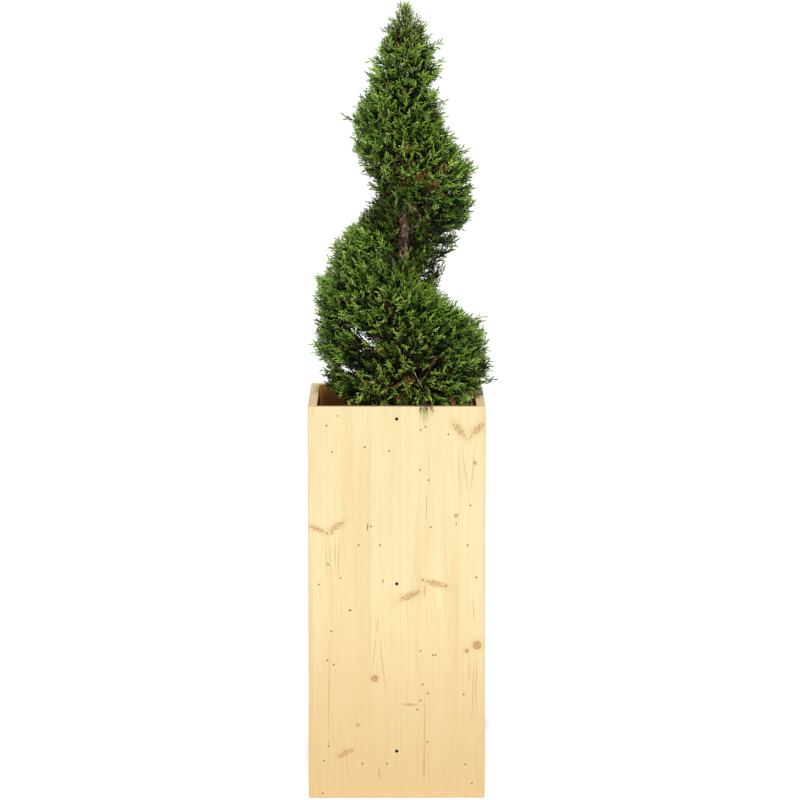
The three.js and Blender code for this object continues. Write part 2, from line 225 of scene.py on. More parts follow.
class Sprout(Bench):
    # a Geometry Nodes tree with named inputs, run on an object and turned into a plain mesh
    def __init__(self, name, inputs):
        tree = bpy.data.node_groups.new(name, "GeometryNodeTree")
        super().__init__(tree)
        tree.interface.new_socket("Geometry", in_out="INPUT", socket_type="NodeSocketGeometry")
        tree.interface.new_socket("Geometry", in_out="OUTPUT", socket_type="NodeSocketGeometry")
        self.sockets = {}
        for title, kind in inputs.items():
            kind = "NodeSocket" + kind
            self.sockets[title] = tree.interface.new_socket(title, in_out="INPUT", socket_type=kind)
        self.start = self.node("NodeGroupInput")

    def input(self, name):
        return self.start.output(name)

    def named(self, name, kind="FLOAT"):
        return self.node("GeometryNodeInputNamedAttribute", {"data_type": kind}, {"Name": name})

    def equals(self, value, number):
        settings = {"data_type": "FLOAT", "operation": "EQUAL"}
        return self.node("FunctionNodeCompare", settings, {"A": value, "B": float(number), "Epsilon": 0.1})

    def paint(self, geometry, material, chosen=True):
        values = {"Geometry": geometry, "Selection": chosen, "Material": material}
        return self.node("GeometryNodeSetMaterial", None, values)

    def stand(self, values):
        # copies of a shape on points, as plain faces
        stood = self.node("GeometryNodeInstanceOnPoints", None, values)
        return self.node("GeometryNodeRealizeInstances", None, {"Geometry": stood})

    def finish(self, geometry):
        self.node("NodeGroupOutput", None, {0: geometry})

    def grow(self, source, name, **values):
        modifier = source.modifiers.new(name, "NODES")
        modifier.node_group = self.tree
        for title, value in values.items():
            modifier[self.sockets[title].identifier] = value
        bpy.context.view_layer.update()
        grown = source.evaluated_get(bpy.context.evaluated_depsgraph_get())
        mesh = bpy.data.meshes.new_from_object(grown)
        source.modifiers.remove(modifier)
        mesh.name = name
        for title in pointValues:
            if title in mesh.attributes:
                mesh.attributes.remove(mesh.attributes[title])
        piece = bpy.data.objects.new(name, mesh)
        bpy.context.scene.collection.objects.link(piece)
        return piece


# what the trees read from the points that they grow on
pointValues = ("thickness", "tint", "heading", "roll", "size", "shape", "tone", "fresh")


def newObject(name, points, faces=(), edges=()):
    mesh = bpy.data.meshes.new(name)
    mesh.from_pydata([tuple(p) for p in points], edges, faces)
    mesh.update()
    piece = bpy.data.objects.new(name, mesh)
    bpy.context.scene.collection.objects.link(piece)
    return piece


def drop(thing):
    mesh = thing.data
    bpy.data.objects.remove(thing)
    bpy.data.meshes.remove(mesh)


def addValues(mesh, name, kind, values, domain="POINT"):
    attribute = mesh.attributes.new(name, kind, domain)
    field = "vector" if kind == "FLOAT_VECTOR" else "value"
    attribute.data.foreach_set(field, np.asarray(values).ravel())


def finishPiece(piece, replaced=()):
    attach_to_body(piece, "root")
    if replaced:
        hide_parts(*replaced)


def smoothPiece(name, points, faces, material):
    piece = newObject(name, points, faces)
    piece.data.shade_smooth()
    piece.data.materials.append(material)
    return piece


def dress(node, material):
    piece = frame["nodes"][node]
    piece.data.materials.clear()
    piece.data.materials.append(material)


def meshPoints(node):
    mesh = frame["nodes"][node].data
    flat = np.zeros(len(mesh.vertices) * 3, np.float32)
    mesh.vertices.foreach_get("co", flat)
    return flat.reshape(-1, 3).astype(float)


# Camera, light and floor

view = {
    "place": (-0.0137, -8.0, 2.022),
    "down": 8.07,  # degrees
    "aside": 0.155,  # degrees towards +X
    "lens": 158.05,
}
studio = {
    "skyStrength": 0.37,
    "skyColor": (1.0, 1.0, 1.0),
    "keyTurn": 0.0,  # from the front towards the left
    "keyHeight": 62,  # degrees over the floor
    "keyStrength": 2.76,
    "keySize": 4,  # degrees across
    "floorSide": 400,
    "floorColor": linear(252, 252, 251),
}


def addCamera():
    camera = bpy.data.objects.new("camera", bpy.data.cameras.new("camera"))
    camera.data.lens = view["lens"]
    camera.data.clip_end = 1000
    camera.location = view["place"]
    camera.rotation_euler = (math.radians(90 - view["down"]), 0, -math.radians(view["aside"]))
    bpy.context.scene.collection.objects.link(camera)
    bpy.context.scene.camera = camera


def addStudio():
    world = bpy.data.worlds.new("studio")
    world.use_nodes = True
    sky = Bench(world.node_tree)
    world.node_tree.nodes.clear()
    glow = sky.node("ShaderNodeBackground", None, {0: (*studio["skyColor"], 1), 1: studio["skyStrength"]})
    sky.node("ShaderNodeOutputWorld", None, {"Surface": glow})
    bpy.context.scene.world = world
    bpy.context.scene.view_settings.view_transform = "Standard"
    bpy.context.scene.view_settings.look = "None"

    key = bpy.data.objects.new("key", bpy.data.lights.new("key", "SUN"))
    key.data.energy = studio["keyStrength"]
    key.data.angle = math.radians(studio["keySize"])
    turn = studio["keyTurn"] * 2 * math.pi
    rise = math.radians(studio["keyHeight"])
    towards = Vector((-math.sin(turn) * math.cos(rise), -math.cos(turn) * math.cos(rise), math.sin(rise)))
    key.rotation_euler = towards.to_track_quat("Z", "Y").to_euler()
    bpy.context.scene.collection.objects.link(key)

    side = studio["floorSide"] / 2
    corners = [(-side, -side, 0), (side, -side, 0), (side, side, 0), (-side, side, 0)]
    floor = newObject("floor", corners, [(0, 1, 2, 3)])
    paper = Finish("pale_floor", Base_Color=studio["floorColor"], Roughness=0.9)
    floor.data.materials.append(paper.material)


addCamera()
addStudio()
print("camera, light and floor are in place")


# The planter's spruce boards

frontLow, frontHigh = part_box("front_board")
rim = frontHigh.z
outside = frontHigh.x
inside = outside - (frontHigh.y - frontLow.y)

spruce = {
    "pale": linear(243, 226, 178),
    # painted shade: the boards darken and warm towards the foot as the light falls off downwards
    "shadedFoot": linear(219, 191, 139),  # at the foot
    "line": linear(210, 160, 96),
    "honey": linear(224, 190, 132),
    "knot": linear(190, 132, 84),
    "knotEdge": linear(134, 82, 48),
    "pin": linear(84, 40, 24),
    "resin": linear(200, 140, 76),
    "grey": linear(150, 130, 112),
    "endGrain": linear(242, 214, 170),
    "endDark": linear(190, 156, 108),
    # inner faces: the wood's own orange, partly painted warm bounce light inside the box
    "inner": linear(254, 186, 96),
    "innerDark": linear(220, 136, 64),
    "staveWidth": 66 * mm,
    "firstJoint": 8 * mm,
    "lineSpacing": 3.3 * mm,
    "grainStretch": 3.2,
    "grainBend": 0.55,
    "pinSize": 2.6 * mm,
    "honeyShare": 0.35,
    "staveShare": 0.12,
    "lineShare": 0.38,
    "fibreShare": 0.24,
    "edgeShadeShare": 0.22,
    "jointShare": 0.16,
    "haloShare": 0.42,
    "resinShare": 0.5,
    "greyShare": 0.62,
    "innerShare": 0.9,
    "roughness": 0.5,
    "relief": 0.25 * mm,
}

# Places on the front board in mm: across from its middle, and down from the rim.
frontGrain = {
    # from one end of a spike knot to the other, then half its width
    "spikes": [
        (128, 37, 152, 66, 7), (197, 37, 168, 62, 7), (-197, 270, -163, 285, 5), (-151, 282, -120, 261, 6),
        (9, 441, 52, 420, 7), (66, 397, 113, 410, 6), (14, 682, 46, 683, 3), (-139, 806, -97, 786, 6),
    ],
    # the middle of a round knot, then its radius
    "rounds": [
        (-50, 622, 8), (182, 545, 10), (159, 558, 4.8), (-88, 730, 4), (112, 408, 3.2),
        (134, 247, 4), (176, 127, 3.5), (-133, 20, 2), (-157, 288, 3), (-146, 287, 3),
    ],
    "pins": [
        (-158, 42), (-146, 102), (-72, 91), (-17, 100), (54, 52), (65, 45), (116, 62), (53, 143), (72, 166),
        (166, 224), (77, 274), (-86, 315), (-38, 315), (160, 315), (-155, 359), (-127, 390), (-176, 405),
        (180, 389), (-107, 464), (-104, 465), (-148, 513), (82, 568), (88, 568), (54, 558), (-157, 580),
        (-143, 590), (59, 636), (70, 657), (54, 673), (47, 694), (152, 659), (70, 769), (-155, 779),
        (-165, 813), (-22, 820), (156, 822), (171, 866), (-169, 889), (59, 395), (-78, 820), (-58, 272),
    ],
    # thin warm lines: from, to, then half the width
    "lines": [
        (147, 92, 162, 205, 1.6), (152, 68, 160, 76, 1.8), (160, 76, 172, 62, 1.8), (176, 80, 166, 205, 1.6),
        (137, 92, 146, 220, 1.2), (-160, 296, -158, 400, 1.6), (-151, 300, -150, 390, 1.3),
        (-139, 300, -139, 372, 1.5), (-129, 296, -133, 392, 1.8), (176, 556, 170, 740, 1.7),
        (183, 560, 177, 700, 1.5), (166, 566, 164, 640, 1.4), (-42, 480, -46, 520, 2.2),
        (-46, 515, -56, 610, 1.5),
        (-40, 515, -24, 660, 1.6), (-187, 2, -187, 22, 1.6), (-155, 762, -155, 779, 2),
        (-151, 520, -156, 780, 1.8), (172, 430, 176, 500, 1.6),
        (-40, 828, -40, 858, 4), (64, 640, 62, 880, 2.2), (-112, 800, -112, 850, 1.2), (64, 400, 62, 440, 2),
    ],
    "greys": [(67, 192, 67, 267, 1.3), (62, 798, 62, 859, 1.7)],
    # short dark cracks
    "cracks": [(-65, 263, -66, 284, 1.5), (-31, 392, -31, 402, 1.6), (134, 258, 134, 272, 1.1)],
    "seed": 0,
}


# How many of each kind stand on a board whose knots are not placed one by one.
scattered = {"spikes": 5, "rounds": 6, "pins": 26, "greys": 2}


def scatteredGrain(seed, halfWidth, height):
    dice = random.Random(seed)
    grain = {kind: [] for kind in ("spikes", "rounds", "pins", "lines", "greys", "cracks")}
    grain["seed"] = seed

    def spot(edge):
        return dice.uniform(-halfWidth + edge, halfWidth - edge), dice.uniform(edge, height - edge)

    for i in range(scattered["spikes"]):
        x, down = spot(30)
        aside, drop = dice.uniform(28, 48) * dice.choice((-1, 1)), dice.uniform(-14, 14)
        grain["spikes"].append((x, down, x + aside, down + drop, dice.uniform(4, 7)))
    for i in range(scattered["rounds"]):
        x, down = spot(15)
        size = dice.uniform(3.5, 11)
        grain["rounds"].append((x, down, size))
        for near, far, reach in ((-0.6, -0.3, 12), (0.6, 0.4, 9)):
            grain["lines"].append((x + size * near, down + size, x + size * far, down + size * reach, 1.5))
    grain["pins"] = [spot(8) for i in range(scattered["pins"])]
    for i in range(scattered["greys"]):
        x, down = spot(40)
        grain["greys"].append((x, down, x, down + dice.uniform(40, 80), 1.3))
    x, down = spot(40)
    grain["cracks"].append((x, down, x + 1, down + 18, 1.4))
    return grain


def longSpots(grain):
    # the middle, turn and half sizes of everything long on a board
    for kind in ("spikes", "lines", "greys", "cracks"):
        for x0, down0, x1, down1, halfWidth in grain[kind]:
            middle = ((x0 + x1) / 2 * mm, 0, (down0 + down1) / 2 * mm)
            turn = (0, math.atan2(down0 - down1, x1 - x0), 0)
            yield kind, middle, turn, (math.hypot(x1 - x0, down1 - down0) / 2 * mm, 1, halfWidth * mm)


def spruceFinish(name, grain, acrossAxis, throughAxis, innerSide):
    wood = Finish(name, IOR=1.45)
    sides = wood.node("ShaderNodeSeparateXYZ", None, {0: wood.place()}, "X")
    across, through, height = (sides.output(axis) for axis in (acrossAxis, throughAxis, "Z"))
    down = rim - height
    flat = wood.combined(across, 0.0, down)
    shift = wood.vectorMath("SUBTRACT", wood.noise(flat, 140, 2).output("Color"), (0.5, 0.5, 0.5))
    ragged = wood.vectorMath("ADD", flat, wood.scaled(shift, 3 * mm))
    squat = wood.combined(across, 0.0, down / spruce["grainStretch"])
    nearest = {}
    bent = across

    def keep(kind, away):
        nearest[kind] = wood.math("MINIMUM", nearest[kind], away) if kind in nearest else away

    def bend(x, drop, reach):
        # the grain runs round a large knot
        away = wood.vectorMath("DISTANCE", squat, (x, 0, drop / spruce["grainStretch"]), "Value") / reach
        return wood.math("EXPONENT", 0.0 - away * away) * (across - x) * spruce["grainBend"]

    for kind, middle, turn, size in longSpots(grain):
        local = wood.mapped(ragged if kind == "spikes" else flat, middle, turn, size)
        keep(kind, wood.vectorMath("LENGTH", local, output="Value"))
        if kind == "spikes":
            bent = bent - bend(middle[0], middle[2], 11 * mm + size[0] * 0.4)
    for x, drop, size in grain["rounds"]:
        spot = (x * mm, 0, drop * mm)
        keep("rounds", wood.vectorMath("DISTANCE", ragged, spot, "Value") / (size * mm))
        if size > 7:
            bent = bent - bend(spot[0], spot[2], (11 + size) * mm)
    for x, drop in grain["pins"]:
        keep("pins", wood.vectorMath("DISTANCE", flat, (x * mm, 0, drop * mm), "Value"))
    nearest["dark"] = wood.math("MINIMUM", nearest["pins"] / spruce["pinSize"], nearest["cracks"])
    nearest["halo"] = wood.math("MINIMUM", nearest["spikes"], nearest["rounds"])

    # fine lines and broad bands, shifted from stave to stave
    slow = wood.noise(wood.mapped(flat, (grain["seed"] * 0.37, 0, 0), size=(1, 1, 9)), 7, 2)
    bent = bent + (slow - 0.5) * (16 * mm)
    stave = wood.math("FLOOR", (across - spruce["firstJoint"]) / spruce["staveWidth"])
    own = wood.node("ShaderNodeTexWhiteNoise", {"noise_dimensions": "1D"},
                    {"W": stave + (grain["seed"] + 0.31)}, "Value")
    run = wood.combined(bent, own * 0.7, down * 0.035)
    fibre = wood.noise(run, 420, 3, 0.6)
    band = wood.noise(run, 95, 2, 0.5)
    broad = wood.noise(wood.combined(bent, own * 0.7, down * 0.1), 16, 2, 0.5)
    rings = wood.math("SINE", bent * (2 * math.pi / spruce["lineSpacing"]) + (band - 0.5) * 9.0)
    lines = wood.smooth(rings, 0.1, 1.0) * wood.smooth(band, 0.3, 0.7, 0.25, 1.0)
    aside = wood.math("ABSOLUTE", across)
    joint = wood.math("PINGPONG", wood.math("ABSOLUTE", across - spruce["firstJoint"]),
                      spruce["staveWidth"] / 2)
    # painted shade: paler at the top, darker and warmer towards the foot
    base = wood.mix(wood.smooth(down, 0.4 * rim, 1.05 * rim), spruce["pale"], spruce["shadedFoot"])

    def stain(share, color):
        nonlocal base
        base = wood.mix(share, base, spruce[color] if isinstance(color, str) else color)

    def fade(kind, full, gone, share=1.0):
        return wood.smooth(nearest[kind], full, gone, share, 0.0)

    stain(wood.smooth(broad, 0.42, 0.74) * spruce["honeyShare"], "honey")
    stain(own * spruce["staveShare"], "honey")
    stain(lines * spruce["lineShare"], "line")
    stain(wood.smooth(fibre, 0.45, 0.8) * spruce["fibreShare"], "line")
    # painted shade: darker within 6 mm of the left and right edges, where the rounded edge turns away
    stain(wood.smooth(aside, outside - 6 * mm, outside, 0.0, spruce["edgeShadeShare"]), "line")
    stain(wood.smooth(joint, 0.0, 0.7 * mm, spruce["jointShare"], 0.0), "knotEdge")

    # a warm halo, resin lines and grey streaks, then the knots, pins and cracks
    speck = wood.noise(flat, 300, 3, 0.6)
    mottle = wood.noise(flat, 240, 3, 0.65)
    rind = wood.smooth(nearest["spikes"], 0.45, 0.8) * fade("spikes", 0.8, 1.2)
    disc = fade("rounds", 0.7, 1.12)
    ring = disc * wood.smooth(nearest["rounds"], 0.5, 0.9)
    stain(fade("halo", 1.0, 2.6, spruce["haloShare"]), "honey")
    stain(fade("lines", 0.2, 1.3, spruce["resinShare"]), "resin")
    stain(fade("greys", 0.2, 1.2, spruce["greyShare"]), "grey")
    stain(fade("spikes", 0.3, 1.15) * wood.smooth(mottle, 0.36, 0.6, 0.1, 0.75), "knot")
    stain(rind * wood.smooth(mottle, 0.46, 0.62, 0.0, 0.7), "knotEdge")
    stain(fade("spikes", 0.1, 0.55, 0.4) * wood.smooth(speck, 0.5, 0.68), "pin")
    stain(disc * wood.smooth(mottle, 0.36, 0.62, 0.25, 0.85), "knot")
    stain(ring * wood.smooth(speck, 0.35, 0.6, 0.1, 0.9), "knotEdge")
    stain(fade("rounds", 0.0, 0.4, 0.5), "knotEdge")
    stain(fade("dark", 0.35, 1.15, 0.9), "pin")

    # the inner faces are more orange and mottled darker: partly the unfinished wood's own colour, partly
    # painted warm bounce light inside the box; the tops are end grain
    if innerSide:
        inner = wood.smooth(through * innerSide, -inside - 0.8 * mm, -inside - 0.2 * mm)
        innerMottle = wood.noise(wood.combined(across, through, down * 0.25), 38, 4, 0.6)
        stain(inner * spruce["innerShare"], wood.mix(innerMottle, spruce["inner"], spruce["innerDark"]))
    top = wood.smooth(height, rim - 0.9 * mm, rim - 0.3 * mm)
    pores = wood.noise(wood.combined(across, through, 0.0), 520, 3, 0.65)
    arcs = wood.noise(wood.combined(across, through * 2.2, 0.0), 110, 2, 0.5)
    grit = wood.smooth(pores, 0.35, 0.65) * 0.6 + wood.smooth(arcs, 0.45, 0.65) * 0.4
    stain(top, wood.mix(grit, spruce["endGrain"], spruce["endDark"]))
    wood.set("Base Color", base)
    wood.set("Roughness", wood.smooth(fibre, 0.3, 0.8, spruce["roughness"], spruce["roughness"] + 0.16))
    wood.bump(fibre * 0.5 + lines * 0.4 + disc * 0.8 + top * pores * 2.0, spruce["relief"], 0.5)
    return wood.material


def makePlanter():
    # each wood with its seed, the axes across and through it, and which way its inner face looks
    woods = [("front", 0, "XY", 1), ("batten", 11, "XY", 0), ("back", 5, "XY", -1), ("left", 3, "YX", 1),
             ("right", 8, "YX", -1), ("panel", 2, "XY", 0)]
    nodes = {"batten": ["front_batten"], "panel": ["floor_board", "inner_shelf"]}
    for name, seed, axes, innerSide in woods:
        grain = scatteredGrain(seed, outside / mm, rim / mm) if seed else frontGrain
        finish = spruceFinish("spruce_" + name, grain, *axes, innerSide)
        for node in nodes.get(name, [name + "_board"]):
            dress(node, finish)


def makeScrews():
    black = Finish("blackened_steel", Metallic=0.6)
    worn = black.noise(black.place(), 900, 3, 0.6)
    black.set("Base Color", black.mix(worn, linear(24, 23, 22), linear(46, 44, 42)))
    black.set("Roughness", black.smooth(worn, 0.3, 0.7, 0.38, 0.6))
    black.bump(worn, 0.05 * mm, 0.4)
    for number in (1, 2, 3):
        dress(f"screw_{number}", black.material)


makePlanter()
makeScrews()
print("the planter is finished")


# Bark, trunk and boughs

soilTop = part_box("root_ball")[1].z
trunkLow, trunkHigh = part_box("trunk")

bark = {
    "light": linear(222, 188, 164),
    "bare": linear(226, 184, 150),
    "middle": linear(126, 98, 78),
    "dark": linear(46, 28, 18),
    "rusty": linear(126, 72, 42),
    # darker twig bark: partly the twigs' own colour, partly painted shade for twigs inside the crown
    "twig": linear(66, 46, 33),
    "green": linear(88, 104, 48),
}


def readTrunk():
    # the middle and mean radius of the trunk at the height of each of its rings
    points = meshPoints("trunk")
    rings = {}
    for x, y, z in points:
        rings.setdefault(round(z / (0.5 * mm)), set()).add((round(x, 5), round(y, 5), z))
    heights, middles, radii = [], [], []
    for key in sorted(rings):
        ring = np.array(sorted(rings[key]))
        if len(ring) < 6:
            continue
        middle = (ring[:, :2].min(0) + ring[:, :2].max(0)) / 2
        heights.append(ring[:, 2].mean())
        middles.append(middle)
        radii.append(np.hypot(*(ring[:, :2] - middle).T).mean())
    return np.array(heights), np.array(middles), np.array(radii)


trunkHeights, trunkMiddles, trunkRadii = readTrunk()


def trunkMiddle(height):
    return Vector((float(np.interp(height, trunkHeights, trunkMiddles[:, 0])),
                   float(np.interp(height, trunkHeights, trunkMiddles[:, 1])), height))


def trunkRadius(height):
    return float(np.interp(height, trunkHeights, trunkRadii))


def outward(turn):
    return Vector((-math.sin(turn * 2 * math.pi), -math.cos(turn * 2 * math.pi), 0))


trunk = {
    "sides": 30,
    "rowHeight": 2.4 * mm,
    "fibreDepth": 0.09,  # as a part of the radius
    "knobDepth": 0.17,
    "fibreScale": (5, 22),  # round the trunk and along it
    "fineScale": (2.6, 16),
    "fineShare": 0.6,
    "knobScale": (1.4, 34),
    "scarHeight": 1228 * mm,
    "scarTurn": 0.04,
    "scarSize": 8.2 * mm,
    "scarLip": 2.0 * mm,
    "scarHole": 4.4 * mm,
    "scarTall": 0.8,
    "lipPlace": 0.75,  # this and the next two in scar sizes
    "lipWidth": 0.38,
    "holeWidth": 0.42,
    "stubHeight": 0.35,  # in stub sizes
    "flare": 0.13,  # how far the ribs at the foot stand out, as a part of the radius
    "flareHeight": 26 * mm,
    "flareRibs": 5,
    # stubs of old boughs: height in mm, turn, size in mm
    "stubs": [
        (1252, 0.16, 6.5), (1262, -0.14, 5.5), (1276, 0.02, 6.5), (1283, -0.12, 6.5), (1296, 0.1, 5.5),
        (1208, 0.2, 5), (1180, -0.18, 6), (1110, 0.05, 7), (1040, -0.3, 6), (990, 0.4, 7), (950, 0.1, 7),
        (900, -0.2, 8),
    ],
}


def barkFinish(name, light, middle, dark, grainScale, stretch):
    skin = Finish(name, Specular_IOR_Level=0.25)
    place = skin.place()
    long = skin.mapped(place, size=(1, 1, stretch))
    fibre = skin.noise(long, grainScale, 4, 0.62)
    flakes = skin.noise(long, grainScale * 0.3, 3, 0.55)
    patches = skin.noise(place, 110, 3, 0.6)
    # darker in the grooves and lighter on the ridges of the bump: partly the bark's own strips, partly
    # painted shade in the grooves and painted highlight on the ridges
    color = skin.ramp(fibre * 0.5 + flakes * 0.5, [(0.40, dark), (0.49, middle), (0.58, light)])
    color = skin.mix(skin.smooth(patches, 0.52, 0.68, 0.0, 0.75), color, dark)
    skin.bump(fibre + flakes * 0.6, 0.6 * mm, 0.7)
    skin.set("Roughness", skin.smooth(fibre, 0.3, 0.7, 0.95, 0.72))
    return skin, color, place


def trunkFinish():
    skin, color, place = barkFinish("trunk_bark", bark["light"], bark["middle"], bark["dark"], 420, 7)
    size, hole = trunk["scarSize"], trunk["scarHole"]
    scar = trunkMiddle(trunk["scarHeight"]) + outward(trunk["scarTurn"]) * trunkRadius(trunk["scarHeight"])
    away = skin.vectorMath("DISTANCE", place, tuple(scar), "Value")
    squat = skin.mapped(place, tuple(scar), size=(1, 4, 1.6))
    ring = skin.vectorMath("LENGTH", squat, output="Value")
    color = skin.mix(skin.smooth(away, size * 1.2, size * 2.6, 0.4, 0.0), color, bark["bare"])
    color = skin.mix(skin.smooth(ring, size * 0.55, size * 0.85, 0.9, 0.0), color, bark["bare"])
    color = skin.mix(skin.smooth(ring, hole * 0.6, hole * 0.95, 1.0, 0.0), color, bark["dark"])
    skin.set("Base Color", color)
    return skin.material


def trunkRelief(turn, height):
    # how far the bark stands out or in, as a part of the radius
    way = outward(turn)

    def grain(scale, finer=1):
        return noise.noise(Vector((way.x * scale[0], way.y * scale[0], height * scale[1])) * finer)

    fibres = grain(trunk["fibreScale"]) + trunk["fineShare"] * grain(trunk["fineScale"], 3.1)
    return trunk["fibreDepth"] * fibres + trunk["knobDepth"] * grain(trunk["knobScale"])


def makeTrunk():
    sides = trunk["sides"]
    rows = round((trunkHigh.z - trunkLow.z) / trunk["rowHeight"])
    swellings = [(trunk["scarHeight"], trunk["scarTurn"], trunk["scarSize"])]
    swellings += [(height * mm, turn, size * mm) for height, turn, size in trunk["stubs"]]
    points = []
    for row in range(rows + 1):
        height = trunkLow.z + (trunkHigh.z - trunkLow.z) * row / rows
        middle, radius = trunkMiddle(height), trunkRadius(height)
        flare = trunk["flare"] * math.exp(-(height - trunkLow.z) / trunk["flareHeight"])
        for i in range(sides):
            turn = -i / sides
            rib = math.cos(2 * math.pi * turn * trunk["flareRibs"] + 1)
            out = radius * (1 + trunkRelief(turn, height) + flare * rib)
            for place, side, size in swellings:
                if abs(height - place) > 3 * size:
                    continue
                across = ((turn - side + 0.5) % 1 - 0.5) * 2 * math.pi * radius
                away = math.hypot(across, (height - place) * trunk["scarTall"]) / size
                lip = math.exp(-((away - trunk["lipPlace"]) / trunk["lipWidth"]) ** 2) * trunk["scarLip"]
                hole = math.exp(-(away / trunk["holeWidth"]) ** 2) * trunk["scarHole"]
                stub = trunk["stubHeight"] * size * math.exp(-(away * 1.1) ** 2)
                out += lip - hole if size == trunk["scarSize"] else stub
            points.append(middle + outward(turn) * out)
    faces = []
    for row in range(rows):
        for i in range(sides):
            a, b = row * sides + i, row * sides + (i + 1) % sides
            faces.append((a, b, b + sides, a + sides))
    faces += [tuple(reversed(range(sides))), tuple(rows * sides + i for i in range(sides))]
    finishPiece(smoothPiece("trunk_bark", points, faces, trunkFinish()), ["trunk"])


makeTrunk()
print("the trunk is finished")


# Potting soil, lumpy, with crumbs on it

soilLook = {
    "cells": 90,
    "wallGap": 1.0 * mm,
    "lumps": 3.2 * mm,
    "crumbs": 0.5 * mm,
    "layers": ((0, 28), (3, 75), (7, 300)),  # coarse, middle and fine: offset and scale of the noise
    "below": 2.0 * mm,  # under the top of the root ball
    "sink": 3.0 * mm,  # and this much more towards the corners
    "density": 15000,  # crumbs on a square metre
    "crumbSize": 2.6 * mm,
    "dark": linear(30, 21, 15),
    "middle": linear(58, 43, 31),
    "pale": linear(104, 82, 58),
    "seed": 9,
}


def soilFinish():
    earth = Finish("potting_soil", Specular_IOR_Level=0.2)
    place = earth.place()
    grains = earth.noise(place, 260, 5, 0.7)
    clods = earth.noise(place, 70, 3, 0.6)
    stops = [(0.34, soilLook["dark"]), (0.52, soilLook["middle"]), (0.7, soilLook["pale"])]
    earth.set("Base Color", earth.ramp(grains * 0.65 + clods * 0.35, stops))
    earth.set("Roughness", earth.smooth(grains, 0.3, 0.7, 0.98, 0.86))
    earth.bump(grains, 1.2 * mm, 0.8)
    return earth.material


def crumbSprout():
    # small lumps strewn over the soil
    sprout = Sprout("crumbs", {"Density": "Float", "Size": "Float", "Seed": "Int", "Soil": "Material"})
    seed = sprout.input("Seed")
    strewn = sprout.node("GeometryNodeDistributePointsOnFaces", None,
                         {"Mesh": sprout.input("Geometry"), "Density": sprout.input("Density"), "Seed": seed},
                         "Points")
    lump = sprout.node("GeometryNodeMeshIcoSphere", None, {"Radius": 1.0, "Subdivisions": 1}, "Mesh")
    inwards = sprout.scaled(sprout.node("GeometryNodeInputPosition"), -0.25)
    ragged = sprout.node("GeometryNodeSetPosition", None, {"Geometry": lump, "Offset": inwards})

    def spread(low, high):
        return sprout.node("FunctionNodeRandomValue", {"data_type": "FLOAT_VECTOR"},
                           {"Min": low, "Max": high, "Seed": seed}, "Value")

    size = sprout.scaled(spread((0.25, 0.25, 0.2), (1.0, 0.8, 0.6)), sprout.input("Size"))
    crumbs = sprout.stand({"Points": strewn, "Instance": ragged, "Scale": size,
                           "Rotation": spread((0, 0, 0), (3.0, 3.0, 6.0))})
    sprout.finish(sprout.paint(crumbs, sprout.input("Soil")))
    return sprout


def makeSoil():
    low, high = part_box("root_ball")
    cells = soilLook["cells"]
    gap = soilLook["wallGap"]
    points, faces = [], []
    for row in range(cells + 1):
        for i in range(cells + 1):
            x = low.x + gap + (high.x - low.x - 2 * gap) * i / cells
            y = low.y + gap + (high.y - low.y - 2 * gap) * row / cells
            coarse, middle, fine = (noise.noise(Vector((x, y, offset)) * scale)
                                    for offset, scale in soilLook["layers"])
            hollow = soilLook["sink"] * (math.hypot(x, y) / inside) ** 2
            level = soilTop - soilLook["below"] + (coarse + 0.5 * middle) * soilLook["lumps"] - hollow
            points.append((x, y, level + fine * soilLook["crumbs"]))
    side = cells + 1
    for row in range(cells):
        for i in range(cells):
            a = row * side + i
            faces.append((a, a + 1, a + side + 1, a + side))
    top = newObject("soil_top", points, faces)
    # closed below by a skirt and a floor
    ring = list(range(side)) + [row * side + cells for row in range(1, side)]
    ring += [cells * side + i for i in range(cells - 1, -1, -1)]
    ring += [row * side for row in range(cells - 1, 0, -1)]
    first = len(points)
    points += [(points[i][0], points[i][1], low.z) for i in ring]
    count = len(ring)
    for i in range(count):
        j = (i + 1) % count
        faces.append((ring[j], ring[i], first + i, first + j))
    faces.append(tuple(first + i for i in reversed(range(count))))
    material = soilFinish()
    soil = smoothPiece("soil", points, faces, material)
    crumbs = crumbSprout().grow(top, "soil_crumbs", Density=float(soilLook["density"]),
                                Size=soilLook["crumbSize"], Seed=soilLook["seed"], Soil=material)
    drop(top)
    finishPiece(soil, ["root_ball"])
    finishPiece(crumbs)
    print(f"soil_crumbs: {len(crumbs.data.polygons)} triangles")


makeSoil()
print("the soil is finished")


# The crown: where every spray of foliage stands, inside the masses of the frame

massNames = sorted(name for name in frame["nodes"] if name.startswith("foliage_"))

